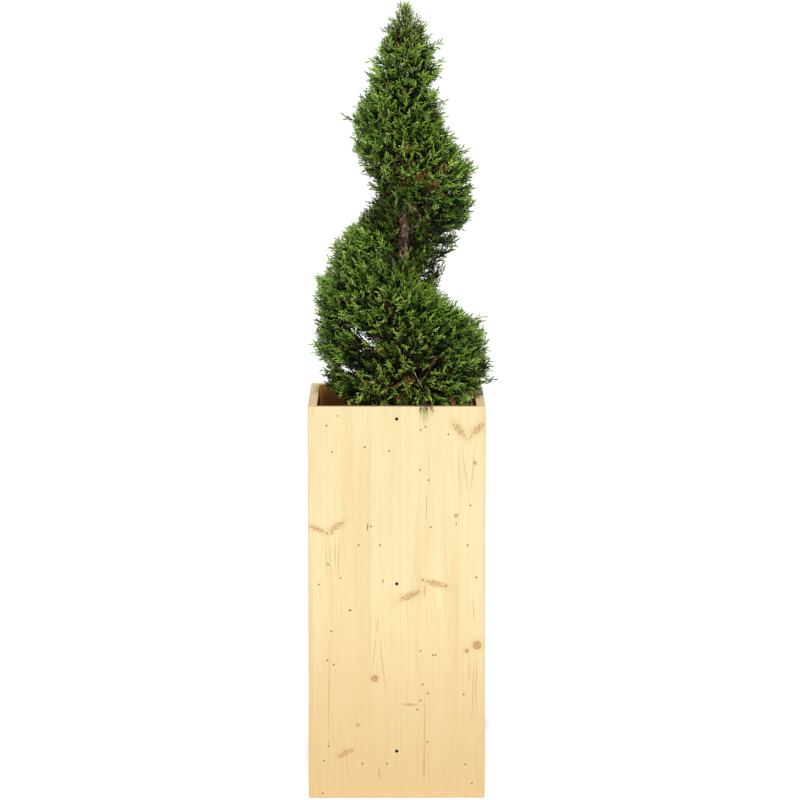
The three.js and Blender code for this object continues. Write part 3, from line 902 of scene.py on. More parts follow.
crown = {
    "seed": 14,
    "tries": 90000,
    "spacing": 12.4 * mm,
    "tipSpacing": 9.5 * mm,
    "tipLow": 1690 * mm,
    "sprayLength": (38 * mm, 58 * mm),
    "tipRoom": (-11 * mm, 7 * mm),  # where a spray's tip ends, from the outline
    "surfaceRoom": 3 * mm,  # how deep a sample still counts as outline
    "facing": (0.6, 0.4),  # shares of the surface's own way and of the way out
    "heading": (0.55, 0.5),  # the same for the way that a spray grows
    "downShare": 0.45,
    "turnAside": 0.28,
    "lift": 0.62,
    "underLift": 0.35,  # part of the lift that is left on the undersides
    "tipLift": 0.7,
    "footDrop": 0.75,
    "footReach": 90 * mm,
    "sweep": 0.6,  # how far the low front fans out to either side
    "sweepMiddle": 45 * mm,
    "sweepWidth": 110 * mm,
    "sweepTop": 1190 * mm,
    "sweepFade": 120 * mm,
    "layers": [(24 * mm, 17 * mm), (48 * mm, 22 * mm), (76 * mm, 30 * mm)],  # depth, spacing
    "coverShare": 0.85,  # part of the sprays in front of a bough that are left out
    "innerLength": (36, 50),  # this and what follows in mm
    "sprigLength": (58, 70),
    "sprigRise": (0.35, 0.8),
    "tipSprays": 26,
    "tipStep": 3.4,
    "tipLength": (36, 46),
    "tipTurn": 0.382,  # turns from one to the next
    "tipSpread": (0.16, 0.016),  # how far the first leans out, and each next one more
    "footSprays": 140,
    "footFront": ((-135, 168), (-172, -110)),
    "footRight": ((135, 174), (-150, 20)),
    "footRightShare": 0.3,
    "footHeights": (872, 912),
    "footLength": (34, 46),
    "cores": 320,
    "coreLength": 38,
    "dryLength": (13, 20),
    "dryEach": 3,
    "boxRoom": 4 * mm,  # how far past the frame's box a tip may reach
    "wallRoom": 4 * mm,
    "trunkRoom": 5 * mm,
}

# Longer sprigs that stand out of the clipped outline: turn, height and how far, in mm.
sprigs = [
    (0.25, 1536, 24), (0.26, 1468, 8), (0.23, 1432, 8), (0.25, 1628, 16), (0.24, 1676, 14),
    (0.27, 1738, 12), (0.75, 1748, 16), (0.74, 1694, 24), (0.76, 1655, 20), (0.75, 1576, 14),
    (0.76, 1534, 12), (0.74, 1500, 12), (0.75, 1464, 22), (0.75, 1418, 14), (0.74, 1376, 10),
    (0.76, 1344, 8), (0.25, 1378, 12), (0.24, 1312, 10), (0.26, 1290, 7), (0.24, 1276, 10),
    (0.25, 1236, 7), (0.26, 1212, 10), (0.25, 1062, 12), (0.24, 1022, 10), (0.26, 938, 14),
    (0.75, 1236, 24), (0.74, 1228, 18), (0.74, 1196, 12), (0.76, 1128, 16), (0.75, 1104, 14),
    (0.75, 1072, 16), (0.75, 1016, 12), (0.76, 962, 14), (0.74, 944, 12), (0.5, 1500, 16),
    (0.55, 1340, 14), (0.45, 1150, 14), (0.52, 1020, 12), (0.6, 1650, 14), (0.4, 1700, 12),
    (0.9, 1180, 12), (0.1, 1420, 12), (0.62, 960, 12),
]


def readMasses():
    corners, owners = [], []
    for number, name in enumerate(massNames):
        mesh = frame["nodes"][name].data
        mesh.calc_loop_triangles()
        flat = np.zeros(len(mesh.loop_triangles) * 3, np.int32)
        mesh.loop_triangles.foreach_get("vertices", flat)
        corners.append(meshPoints(name)[flat.reshape(-1, 3)])
        owners.append(np.full(len(corners[-1]), number))
    corners, owners = np.concatenate(corners), np.concatenate(owners)
    points = corners.reshape(-1, 3)
    faces = [(i, i + 1, i + 2) for i in range(0, len(points), 3)]
    return corners, owners, BVHTree.FromPolygons([Vector(p) for p in points], faces)


massCorners, massOwners, massSolid = readMasses()
farOut = 0.5


def outlineRadius(turnVector, height):
    # how far the crown reaches from the trunk's middle, seen from outside at that height
    middle = trunkMiddle(height)
    hit = massSolid.ray_cast(middle + turnVector * farOut, -turnVector, farOut)[0]
    return (hit - middle).length if hit else 0.0


def fromTrunk(point):
    middle = trunkMiddle(point.z)
    return Vector((point.x - middle.x, point.y - middle.y, 0))


def sampleOutline():
    # points spread over the outside of the crown, with the way out and the mass that each lies on
    dice = np.random.default_rng(crown["seed"])
    across = np.cross(massCorners[:, 1] - massCorners[:, 0], massCorners[:, 2] - massCorners[:, 0])
    doubleArea = np.linalg.norm(across, axis=1)
    chosen = dice.choice(len(massCorners), crown["tries"], p=doubleArea / doubleArea.sum())
    a, b = dice.random(crown["tries"]), dice.random(crown["tries"])
    flip = a + b > 1
    a[flip], b[flip] = 1 - a[flip], 1 - b[flip]
    first, second, third = (massCorners[chosen][:, i] for i in range(3))
    spots = first + a[:, None] * (second - first) + b[:, None] * (third - first)
    normals = across[chosen] / doubleArea[chosen][:, None]
    found = []
    for spot, normal, owner in zip(spots, normals, massOwners[chosen]):
        point, normal = Vector(spot), Vector(normal)
        out = fromTrunk(point)
        reach = out.length
        if reach < 1 * mm:
            continue
        out.normalize()
        if reach < outlineRadius(out, point.z) - crown["surfaceRoom"] or normal.dot(out) < -0.3:
            continue
        facing = (normal * crown["facing"][0] + out * crown["facing"][1]).normalized()
        found.append((point, facing, out, int(owner)))
    return found


def thinned(spots, spacing):
    # keeps points that are at least the spacing apart
    cells, chosen = {}, []
    for spot in spots:
        p = spot[0]
        cell = tuple(math.floor(c / spacing) for c in p)
        near = ((cell[0] + i, cell[1] + j, cell[2] + k)
                for i in (-1, 0, 1) for j in (-1, 0, 1) for k in (-1, 0, 1))
        if any((p - q).length < spacing for c in near for q in cells.get(c, ())):
            continue
        cells.setdefault(cell, []).append(p)
        chosen.append(spot)
    return chosen


def clearOfWalls(point):
    # the boards, with room for the foliage round them
    if point.z > rim + crown["wallRoom"]:
        return True
    return max(abs(point.x), abs(point.y)) < inside - crown["wallRoom"] and point.z > soilTop - 2 * mm


# Bare trunk shows between two turns of the spiral. Sprays close the gaps behind it and hide it higher up.
window = {
    "low": 1220 * mm,
    "high": 1300 * mm,
    "halfWidth": 9.5 * mm,
    "narrow": 1250 * mm,
    "lowHalfWidth": 7 * mm,
    "aside": 5 * mm,
    "veilHigh": 1398 * mm,
    "veilLow": 1172 * mm,
    "veils": 120,
    "lowVeils": 60,
    "veilAside": (-26, 26),  # this and what follows in mm, from the trunk
    "veilAhead": (8, 46),
    "veilLength": (34, 48),
    "flanks": 150,
    "flankAside": (14, 48),
    "flankBehind": (-40, 5),
    "flankLength": (26, 40),
    "flankDepth": 12,
    "backings": 190,
    "backingAside": (-50, 50),
    "backingBehind": (12, 50),
    "backingLength": 40,
}

# Openings in the foliage as seen from the front: across, height, radius and how far back they reach, in mm.
openings = [
    (-78, 1040, 11, 300), (-64, 1025, 10, 300), (-110, 958, 10, 300), (-80, 949, 8, 300),
    (-57, 1005, 10, 300), (-90, 1009, 9, 300), (-42, 1030, 7, 300), (-44, 992, 7, 300),
    (-130, 959, 6, 300), (104, 944, 7, 300), (124, 940, 6, 300), (-100, 975, 8, 300),
    (-88, 940, 7, 300), (-46, 968, 6, 300), (-26, 1000, 6, 300), (-104, 1046, 6, 300),
    (58, 1108, 6, 300), (60, 1173, 7, 300), (99, 1244, 8, 300), (110, 1222, 8, 300), (92, 1215, 7, 300),
    (62, 1192, 7, 300), (-38, 1428, 6, 300), (112, 1272, 7, 300), (120, 1262, 7, 300),
    (84, 1232, 7, 300), (-80, 1350, 6, 300), (60, 1290, 6, -20), (52, 1310, 7, -20), (84, 950, 6, -90),
    (72, 934, 5, -90), (10, 908, 7, -120),
]
# The back left corner of the planter stays in sight beside the foliage.
corner = {"across": -138 * mm, "slope": 1.3, "high": 932 * mm}

# Where dry, rusty sprays gather: across, height and radius as seen from the front, in mm.
dryPlaces = [
    (20, 1384, 8), (36, 1394, 8), (58, 1405, 9), (74, 1412, 9), (74, 1392, 7), (64, 1306, 6),
    (104, 1420, 6), (12, 1376, 6), (48, 1400, 7), (-4, 905, 16), (-30, 915, 12), (30, 940, 12),
    (-62, 925, 8),
]

# Bare and dry twigs that lie on the foliage, from end to end as seen from the front, in mm.
sticks = [
    (-1, 1699, -2, 1728), (46, 1671, 41, 1715), (-17, 1601, -37, 1633), (-14, 1513, -38, 1555),
    (49, 1594, 58, 1612), (-5, 1443, 20, 1462), (26, 1466, 51, 1478), (23, 1429, 54, 1441),
    (103, 1411, 105, 1429), (93, 1365, 103, 1351), (106, 1364, 116, 1357), (12, 1113, 15, 1127),
    (72, 1008, 83, 994), (63, 957, 95, 985), (124, 1008, 127, 998), (30, 1462, 12, 1490),
    (-28, 940, -44, 962), (18, 905, 34, 922), (2, 925, 30, 944), (90, 989, 81, 976),
    (66, 1318, 78, 1336),
]

# Sprigs that reach over the front board's edge, small ones that hang down it, and four that stand before the
# low end of the open trunk. Each has its base in mm, its heading and its length in mm.
placedSprigs = [
    ((50, -172, 930), (-0.12, -0.85, -0.42), 36), ((60, -174, 929), (0.05, -0.85, -0.44), 38),
    ((69, -172, 930), (0.22, -0.85, -0.42), 36), ((64, -176, 932), (0.45, -0.80, -0.36), 34),
    ((56, -203, 908), (-0.30, -0.12, -0.95), 22), ((61, -204, 908), (0.02, -0.10, -1.0), 27),
    ((66, -204, 907), (0.22, -0.12, -0.96), 25), ((73, -203, 909), (0.42, -0.10, -0.90), 21),
    ((30, -60, 1190), (-0.20, -0.12, 0.97), 42), ((14, -60, 1186), (0.20, -0.10, 0.97), 38),
    ((24, -58, 1176), (-0.05, -0.10, 0.99), 36), ((27, -52, 1204), (-0.12, -0.30, 0.94), 34),
]


eye = Vector(view["place"])


def asSeen(point):
    # where the line of sight through a point meets the trunk's plane
    return eye + (point - eye) * (eye.y / (eye.y - point.y))


def behind(x, height, depth):
    # the point at that depth on the line of sight through a place in the trunk's plane, all in mm
    return eye + (Vector((x, 0, height)) * mm - eye) * ((depth * mm - eye.y) / -eye.y)


def frontOf(x, height, ahead):
    # a place on the front of the crown as seen, a few mm before it
    towards = (Vector((x, 0, height)) * mm - eye).normalized()
    hit = massSolid.ray_cast(eye, towards)[0]
    return hit - towards * (ahead * mm) if hit else None


def coversBough(point):
    # in front of a bough that shows
    seen = asSeen(point)
    return any(point.y < place.y - 2 * mm and (seen - flat).length < shownRoom for place, flat in shownBoughs)


def blocksOpening(point):
    # an opening runs along the line of sight
    seen = asSeen(point)
    if seen.z < corner["high"] and seen.x < corner["across"] - (seen.z - rim) * corner["slope"]:
        return True
    return any(point.y < reach * mm and math.hypot(seen.x - x * mm, seen.z - height * mm) < radius * mm
               for x, height, radius, reach in openings)


def hidesTrunk(point):
    # in front of the open stretch of the trunk
    if not window["low"] < point.z < window["high"]:
        return False
    middle = trunkMiddle(point.z)
    aside, width = 0, window["halfWidth"]
    if point.z < window["narrow"]:
        aside, width = window["aside"], window["lowHalfWidth"]
    return point.y < middle.y and abs(point.x - middle.x + aside) < width


def readBough(name):
    # points along the middle of one of the frame's boughs, from the trunk out, with its radius at each
    mesh = frame["nodes"][name].data
    points, merged = np.unique(meshPoints(name).round(6), axis=0, return_inverse=True)
    merged = merged.ravel()
    near = {i: set() for i in range(len(points))}
    for edge in mesh.edges:
        a, b = (int(merged[i]) for i in edge.vertices)
        near[a].add(b)
        near[b].add(a)
    away = np.array([fromTrunk(Vector(p)).length for p in points])
    along = np.full(len(points), np.inf)
    along[away < away.min() + 1 * mm] = 0
    settled = set()
    while len(settled) < len(points):
        i = min((i for i in near if i not in settled), key=lambda i: along[i])
        settled.add(i)
        for j in near[i]:
            along[j] = min(along[j], along[i] + np.linalg.norm(points[i] - points[j]))
    cuts = np.linspace(0, along.max() + 1e-6, boughCuts + 1)
    line = []
    for low, high in zip(cuts[:-1], cuts[1:]):
        ring = points[(along >= low) & (along < high)]
        if len(ring) < 4:
            continue
        # a tube's second widest spread is across it
        spreads = np.linalg.svd(ring - ring.mean(0), compute_uv=False)
        line.append((Vector(ring.mean(0)), float(spreads[1] * math.sqrt(2 / len(ring)))))
    start = trunkMiddle(line[0][0].z)
    return [(start.lerp(line[0][0], 0.5), line[0][1])] + line


boughCuts = 7
shownRoom = 7 * mm

# Pale twigs that show: points as seen from the front, with the depth of each, in mm, then the radius in mm.
shownTwigs = [
    ([(74, 897, -126), (68, 903, -140), (60, 916, -150), (54, 925, -154), (62, 937, -154), (69, 947, -150),
      (78, 964, -144), (88, 981, -136), (96, 990, -122)], 1.9),
    ([(54, 925, -154), (45, 943, -152), (38, 960, -146), (34, 976, -132)], 1.3),
    ([(30, 1258, -8), (37, 1263, -16), (34, 1281, -22), (19, 1297, -26), (3, 1311, -27),
      (-6, 1324, -24)], 1.3),
    ([(6, 1308, -25), (9, 1306, -27), (18, 1312, -32), (28, 1321, -34), (34, 1327, -36),
      (46, 1334, -38)], 1.2),
]
twigLines = [([behind(*spot) for spot in line], radius * mm) for line, radius in shownTwigs]
# the boughs that show, with how many points of each do
shownParts = (("bough_front_right", 9), ("bough_front_left", 4), ("bough_front", 4), ("bough_foot_front", 9))
shownLines = [line for line, radius in twigLines]
shownLines += [[place for place, radius in readBough(name)[1:last]] for name, last in shownParts]
shownBoughs = []
for line in shownLines:
    for start, end in zip(line[:-1], line[1:]):
        shownBoughs += [(spot, asSeen(spot)) for spot in (start.lerp(end, t / 4) for t in range(5))]


def placeSprays():
    dice = random.Random(crown["seed"])
    outline = sampleOutline()
    sprays = []

    def wander():
        return Vector((dice.gauss(0, 1), dice.gauss(0, 1), dice.gauss(0, 1))) * crown["turnAside"]

    def between(span):
        return dice.uniform(*span) * mm

    def ownerOf(place):
        return min(outline[::7], key=lambda spot: (spot[0] - place).length_squared)[3]

    def pastBox(point):
        room = crown["boxRoom"]
        return any(not low - room < value < high + room for value, low, high in zip(point, *cadBox))

    def addFree(base, heading, length, owner, depth=0.0, kind="outer", tip=None):
        # a spray that no wall or trunk can turn away
        sprays.append({"tip": tip or base + heading * length, "base": base, "heading": heading,
                       "length": length, "owner": owner, "depth": depth, "kind": kind,
                       "roll": dice.uniform(0, 2 * math.pi)})

    def addSpray(tip, heading, length, owner=None, depth=0.0, kind="outer"):
        owner = ownerOf(tip) if owner is None else owner
        base = tip - heading * length
        while pastBox(tip) and length > crown["sprayLength"][0] * 0.5:
            length -= 2 * mm
            tip = base + heading * length
        away = fromTrunk(base)
        least = trunkRadius(base.z) + crown["trunkRoom"]
        if away.length < least or away.dot(fromTrunk(tip)) < 0:
            length *= 0.6
            base = tip - heading * length
        along = (tip, tip - heading * (length * 0.5), base)
        if not all(clearOfWalls(p) for p in along) or any(hidesTrunk(p) or blocksOpening(p) for p in along):
            return
        if any(coversBough(p) for p in along) and dice.random() < crown["coverShare"]:
            return
        addFree(base, heading, length, owner, depth, kind, tip)

    def headingAt(normal, out, point):
        lift = crown["lift"] * (crown["underLift"] if normal.z < -0.15 else 1)
        lift -= crown["footDrop"] * max(0.0, 1 - (point.z - rim) / crown["footReach"])
        lift += crown["tipLift"] * max(0.0, (point.z - crown["tipLow"]) / (cadBox[1][2] - crown["tipLow"]))
        facing = Vector((normal.x, normal.y, normal.z * (crown["downShare"] if normal.z < 0 else 1)))
        heading = facing * crown["heading"][0] + out * crown["heading"][1] + up * lift + wander()
        low = min(1.0, max(0.0, (crown["sweepTop"] - point.z) / crown["sweepFade"]))
        fan = min(1.0, max(-1.0, (point.x - crown["sweepMiddle"]) / crown["sweepWidth"]))
        heading.x += crown["sweep"] * fan * low * max(0.0, -out.y)
        return heading.normalized()

    # sprigs past the outline, then the outline itself
    for turn, height, stand in sprigs:
        out = outward(turn + dice.uniform(-0.02, 0.02))
        edge = trunkMiddle(height * mm) + out * outlineRadius(out, height * mm)
        heading = (out + up * dice.uniform(*crown["sprigRise"]) + wander() * 0.3).normalized()
        length = between(crown["sprigLength"])
        addSpray(edge + heading * (stand * mm), heading, length, ownerOf(edge), kind="sprig")
    high = [spot for spot in outline if spot[0].z > crown["tipLow"]]
    low = [spot for spot in outline if spot[0].z <= crown["tipLow"]]
    for point, normal, out, owner in thinned(high, crown["tipSpacing"]) + thinned(low, crown["spacing"]):
        heading = headingAt(normal, out, point)
        narrow = min(1.0, outlineRadius(out, point.z) / (70 * mm) + 0.35)
        length = dice.uniform(*crown["sprayLength"]) * narrow
        addSpray(point + normal * dice.uniform(*crown["tipRoom"]), heading, length, owner)

    # the tip, the placed sprigs, and the foot, which hangs down inside the boards
    for i in range(crown["tipSprays"]):
        height = trunkHigh.z - i * crown["tipStep"] * mm
        out = outward(i * crown["tipTurn"])
        first, more = crown["tipSpread"]
        heading = (up + out * (first + more * i) + wander() * 0.3).normalized()
        length = min(between(crown["tipLength"]), (cadBox[1][2] - height) / heading.z)
        addFree(trunkMiddle(height) + out * 1.5 * mm, heading, length, len(massNames) - 1)
    for place, towards, length in placedSprigs:
        base = Vector(place) * mm
        addFree(base, Vector(towards).normalized(), length * mm, ownerOf(base), kind="hanging")
    for i in range(crown["footSprays"]):
        tip = Vector([dice.uniform(*span) for span in crown["footFront"]] + [0]) * mm
        if dice.random() < crown["footRightShare"]:
            tip = Vector([dice.uniform(*span) for span in crown["footRight"]] + [0]) * mm
        tip.z = between(crown["footHeights"])
        heading = (fromTrunk(tip).normalized() * 0.8 - up * dice.uniform(0.1, 0.9) + wander()).normalized()
        addSpray(tip, heading, between(crown["footLength"]))

    # veils before the trunk over and under its open stretch, flanks beside it and backings behind it
    veils = [(window["high"] + 6 * mm, window["veilHigh"])] * window["veils"]
    veils += [(window["veilLow"], window["low"] - 2 * mm)] * window["lowVeils"]
    for span in veils:
        height = dice.uniform(*span)
        middle = trunkMiddle(height)
        ahead = trunkRadius(height) + between(window["veilAhead"])
        tip = middle + Vector((between(window["veilAside"]), -ahead, 0))
        out = Vector((tip.x - middle.x, tip.y - middle.y, 0)).normalized()
        heading = out * 0.35 + up * 0.8 + Vector((1, 0, 0)) * dice.uniform(-0.8, 0.8) + wander()
        addSpray(tip, heading.normalized(), between(window["veilLength"]))
    for i in range(window["flanks"]):
        height = dice.uniform(window["low"] - 20 * mm, window["high"] + 55 * mm)
        side = dice.choice((-1, 1))
        aside, back = side * between(window["flankAside"]), between(window["flankBehind"])
        heading = Vector((side * dice.uniform(0.1, 0.9), -0.35, dice.uniform(-0.2, 0.9))) + wander()
        addSpray(trunkMiddle(height) + Vector((aside, back, 0)), heading.normalized(),
                 between(window["flankLength"]), depth=window["flankDepth"] * mm)
    for i in range(window["backings"]):
        height = dice.uniform(window["low"] - 25 * mm, window["high"] + 40 * mm)
        aside = between(window["backingAside"])
        back = trunkRadius(height) + between(window["backingBehind"])
        base = trunkMiddle(height) + Vector((aside, back, 0))
        heading = up * 0.5 + Vector((dice.uniform(-1, 1), dice.uniform(-0.3, 0.8), 0)) + wander()
        heading.normalize()
        length = window["backingLength"]
        addSpray(base + heading * length * mm, heading, length * mm, ownerOf(base), 30 * mm, "inner")

    # sprays close round the trunk, dry ones, and layers deeper inside
    for i in range(crown["cores"]):
        height = dice.uniform(rim + 30 * mm, trunkHigh.z - 30 * mm)
        out = outward(dice.random())
        base = trunkMiddle(height) + out * (trunkRadius(height) + between((4, 12)))
        heading = (out * 0.8 + up * 0.5 + wander()).normalized()
        length = crown["coreLength"]
        addSpray(base + heading * length * mm, heading, length * mm, ownerOf(base), 40 * mm, "inner")
    for x, height, radius in dryPlaces:
        for i in range(crown["dryEach"]):
            place = frontOf(x + dice.uniform(-1, 1) * radius, height + dice.uniform(-1, 1) * radius,
                            dice.uniform(-3, 3))
            heading = Vector((dice.uniform(-1, 1), -0.45, dice.uniform(-0.1, 0.7))).normalized()
            addSpray(place, heading, between(crown["dryLength"]), kind="dry")
    for depth, spacing in crown["layers"]:
        deeper = []
        for point, normal, out, owner in outline[::3]:
            inner = point - normal * (depth * dice.uniform(0.85, 1.15))
            away = fromTrunk(inner).length
            if away > trunkRadius(inner.z) + 16 * mm and away < outlineRadius(out, inner.z) - depth * 0.5:
                deeper.append((inner, normal, out, owner))
        for inner, normal, out, owner in thinned(deeper, spacing):
            heading = headingAt(normal, out, inner)
            addSpray(inner, heading, between(crown["innerLength"]), owner, depth, "inner")
    return sprays


sprays = placeSprays()
print(f"{len(sprays)} sprays stand in the crown,",
      {kind: sum(s["kind"] == kind for s in sprays) for kind in ("sprig", "outer", "inner")})


# The limbs: boughs leave the trunk and fork until each spray has a twig

limbRules = {
    "seed": 5,
    "leaders": 110,
    "branches": 640,
    "rise": 38,  # degrees that a bough climbs at as it leaves the trunk
    "lowest": 12 * mm,  # over the soil
    "stemStep": 8,  # in mm
    "leaderStep": 14 * mm,
    "branchStep": 12 * mm,
    "stalkSteps": 3,
    "leaderReach": 28 * mm,  # how far from the trunk a leader's spray stands at least
    "nearTrunk": 20 * mm,
    "openRoom": 3 * mm,  # a point this far past the outline lies out in the open
    "openShare": 0.34,  # the most of a chain that may lie there
    "bend": 60 * mm,
    "leaveBend": 0.7,
    "arriveBend": 0.55,
    "carryOn": (0.45, 0.8),  # shares of the limb's own heading and of the way to the spray
    "wanted": (0.75, 0.6),  # the way that twigs best grow: out and up
    "choices": 18,
    "crowded": 6 * mm,
    "crowdCost": 4 * mm,
    "turnCost": 0.9,
    "strayCost": 25 * mm,
    "twigRadius": 0.62 * mm,
    "forkPower": 0.44,
    "intoSpray": 0.35,  # part of a spray's length that its stalk runs on into it
}


class Tree:
    # every limb's points, each with the point that it grew from
    def __init__(self):
        self.points = []
        self.headings = []
        self.parents = []
        self.chains = []

    def addPoint(self, point, heading, parent):
        self.points.append(point)
        self.headings.append(heading)
        self.parents.append(parent)
        return len(self.points) - 1

    def addChain(self, kind, parent, path, spray=None):
        chain = []
        last = parent
        for i, point in enumerate(path):
            before = self.points[last] if last is not None else path[0] - up
            last = self.addPoint(point, (point - before).normalized(), last)
            chain.append(last)
        self.chains.append({"kind": kind, "parent": parent, "points": chain, "spray": spray})
        return chain

    def lookup(self):
        tree = KDTree(len(self.points))
        for i, point in enumerate(self.points):
            tree.insert(point, i)
        tree.balance()
        return tree

    def weigh(self):
        # how many sprays each point carries
        weights = np.zeros(len(self.points))
        for chain in self.chains:
            if chain["spray"] is not None:
                weights[chain["points"][-1]] += 1
        for i in range(len(self.points) - 1, -1, -1):
            if self.parents[i] is not None:
                weights[self.parents[i]] += weights[i]
        return weights


def bentPath(start, startHeading, end, endHeading, steps):
    # a smooth curve that leaves along one heading and arrives along the other
    span = min((end - start).length, limbRules["bend"])
    a, b = startHeading * span * limbRules["leaveBend"], endHeading * span * limbRules["arriveBend"]
    path = []
    for i in range(1, steps + 1):
        t = i / steps
        path.append(start * (2 * t ** 3 - 3 * t ** 2 + 1) + a * (t ** 3 - 2 * t ** 2 + t) +
                    end * (3 * t ** 2 - 2 * t ** 3) + b * (t ** 3 - t ** 2))
    return path


def spreadOut(points, count, start):
    # the indices of points that lie as far from each other as they can
    chosen = [start]
    away = np.linalg.norm(points - points[start], axis=1)
    while len(chosen) < count:
        chosen.append(int(away.argmax()))
        away = np.minimum(away, np.linalg.norm(points - points[chosen[-1]], axis=1))
    return chosen


def growLimbs(sprays):
    dice = random.Random(limbRules["seed"])
    tree = Tree()
    lowest = soilTop + limbRules["lowest"]
    step = limbRules["stemStep"]
    steps = int((trunkHigh.z - 6 * mm - lowest) / (step * mm))
    stem = tree.addChain("trunk", None, [trunkMiddle(lowest + i * step * mm) for i in range(steps + 1)])
    boughLines = {name: readBough(name) for name in sorted(frame["nodes"]) if name.startswith("bough_")}
    for line in boughLines.values():
        near = min(stem, key=lambda i: (tree.points[i] - line[0][0]).length)
        tree.addChain("bough", near, [point for point, radius in line])

    bases = np.array([s["base"] for s in sprays])
    waiting = set(range(len(sprays)))
    lost = []

    def inTheOpen(point):
        out = fromTrunk(point)
        outline = outlineRadius(out.normalized(), point.z) + limbRules["openRoom"]
        return out.length > max(limbRules["nearTrunk"], outline)

    def inWindow(height, out):
        return window["low"] - 10 * mm < height < window["high"] + 30 * mm and out.y < 10 * mm

    def strays(start, end):
        # how many of the points between two places lie out in the open
        return sum(inTheOpen(start.lerp(end, t)) for t in (0.25, 0.5, 0.75))

    def finishChain(kind, index, parent, startHeading, step):
        spray = sprays[index]
        start = tree.points[parent]
        steps = max(2, round((spray["base"] - start).length / step)) if step else limbRules["stalkSteps"]
        path = bentPath(start, startHeading, spray["base"], spray["heading"], steps)
        if any(inTheOpen(p) for p in path[:-1]):
            path = [start.lerp(spray["base"], i / steps) for i in range(1, steps + 1)]
            inSight = sum(inTheOpen(p) for p in path[:-1])
            if spray["kind"] != "hanging" and inSight > len(path) * limbRules["openShare"]:
                lost.append(kind)
                waiting.discard(index)
                spray["kind"] = "lost"
                return
        path.append(spray["base"] + spray["heading"] * spray["length"] * limbRules["intoSpray"])
        tree.addChain(kind, parent, path, index)
        waiting.discard(index)

    def attach(kind, chosen, step):
        lookup = tree.lookup()
        for index in chosen:
            base, out = sprays[index]["base"], fromTrunk(sprays[index]["base"])
            wanted = (out.normalized() * limbRules["wanted"][0] + up * limbRules["wanted"][1]).normalized()
            best, leastCost = None, 1e9
            for point, i, distance in lookup.find_n(base, limbRules["choices"]):
                turn = 1 - (base - point).normalized().dot(wanted) if distance > 1e-5 else 0
                crowd = limbRules["crowdCost"] if distance < limbRules["crowded"] else 0
                cost = distance * (1 + limbRules["turnCost"] * turn) + crowd
                if cost < leastCost:
                    cost += strays(point, base) * limbRules["strayCost"]
                if cost < leastCost:
                    best, leastCost = i, cost
            towards = (base - tree.points[best]).normalized()
            own, further = limbRules["carryOn"]
            heading = (tree.headings[best] * own + towards * further).normalized()
            finishChain(kind, index, best, heading, step)

    distances = np.array([fromTrunk(s["base"]).length - trunkRadius(s["base"].z) for s in sprays])
    far = np.where(distances > limbRules["leaderReach"])[0]
    leaders = [int(far[i]) for i in spreadOut(bases[far], limbRules["leaders"], int(distances[far].argmax()))]
    climb = math.tan(math.radians(limbRules["rise"]))
    for index in leaders:
        base = sprays[index]["base"]
        out = fromTrunk(base)
        drop = out.length * climb * dice.uniform(0.7, 1.2)
        if base.z - lowest < out.length * climb:
            drop = (base.z - lowest) * dice.uniform(0.5, 0.9)
        starts = [base.z - drop * share for share in (1.0, 0.75, 0.5, 0.25, 0.0)]
        fork = min(starts, key=lambda height: strays(trunkMiddle(height), base) + 2 * inWindow(height, out))
        parent = stem[min(len(stem) - 1, max(0, round((fork - lowest) / (limbRules["stemStep"] * mm))))]
        heading = (out.normalized() + up * dice.uniform(0.3, 0.9)).normalized()
        finishChain("leader", index, parent, heading, limbRules["leaderStep"])
    rest = sorted(waiting)
    branches = [rest[i] for i in spreadOut(bases[rest], limbRules["branches"], 0)]
    attach("branch", branches, limbRules["branchStep"])
    attach("stalk", sorted(waiting), None)
    lookup = tree.lookup()
    for x0, height0, x1, height1 in sticks:
        start, end = frontOf(x0, height0, 1.5), frontOf(x1, height1, 3.5)
        if start and end:
            nearest = lookup.find(start + Vector((0, 12 * mm, -6 * mm)))[1]
            tree.addChain("stick", nearest, [start, start.lerp(end, 0.55) + Vector((1, 0, 0.5)) * mm, end])
    print(f"{len(lost)} sprays had no way to a limb")
    return tree, boughLines


limbs, boughLines = growLimbs(sprays)
print(f"{len(limbs.chains)} limbs and twigs carry them, with {len(limbs.points)} points")


def limbSprout():
    # chains of points become tapering limbs, each as thick as its points say
    sprout = Sprout("limbs", {"Sides": "Int", "Relief": "Float", "Relief Size": "Float", "Bark": "Material",
                              "Rusty": "Material", "Green": "Material"})
    curves = sprout.node("GeometryNodeMeshToCurve", None, {"Mesh": sprout.input("Geometry")})
    values = {"Resolution": sprout.input("Sides"), "Radius": 1.0}
    ring = sprout.node("GeometryNodeCurvePrimitiveCircle", None, values)
    values = {"Curve": curves, "Profile Curve": ring, "Scale": sprout.named("thickness"), "Fill Caps": True}
    skin = sprout.node("GeometryNodeCurveToMesh", None, values)
    rough = sprout.noise(sprout.node("GeometryNodeInputPosition"), sprout.input("Relief Size"), 3, 0.6)
    relief = (rough - 0.5) * sprout.input("Relief") * sprout.named("thickness")
    offset = sprout.scaled(sprout.node("GeometryNodeInputNormal"), relief)
    skin = sprout.node("GeometryNodeSetPosition", None, {"Geometry": skin, "Offset": offset})
    skin = sprout.node("GeometryNodeSetShadeSmooth", None, {"Geometry": skin})
    skin = sprout.paint(skin, sprout.input("Bark"))
    for number, title in ((1, "Rusty"), (2, "Green")):
        chosen = sprout.equals(sprout.named("tint", "INT"), number)
        skin = sprout.paint(skin, sprout.input(title), chosen)
    sprout.finish(skin)
    return sprout


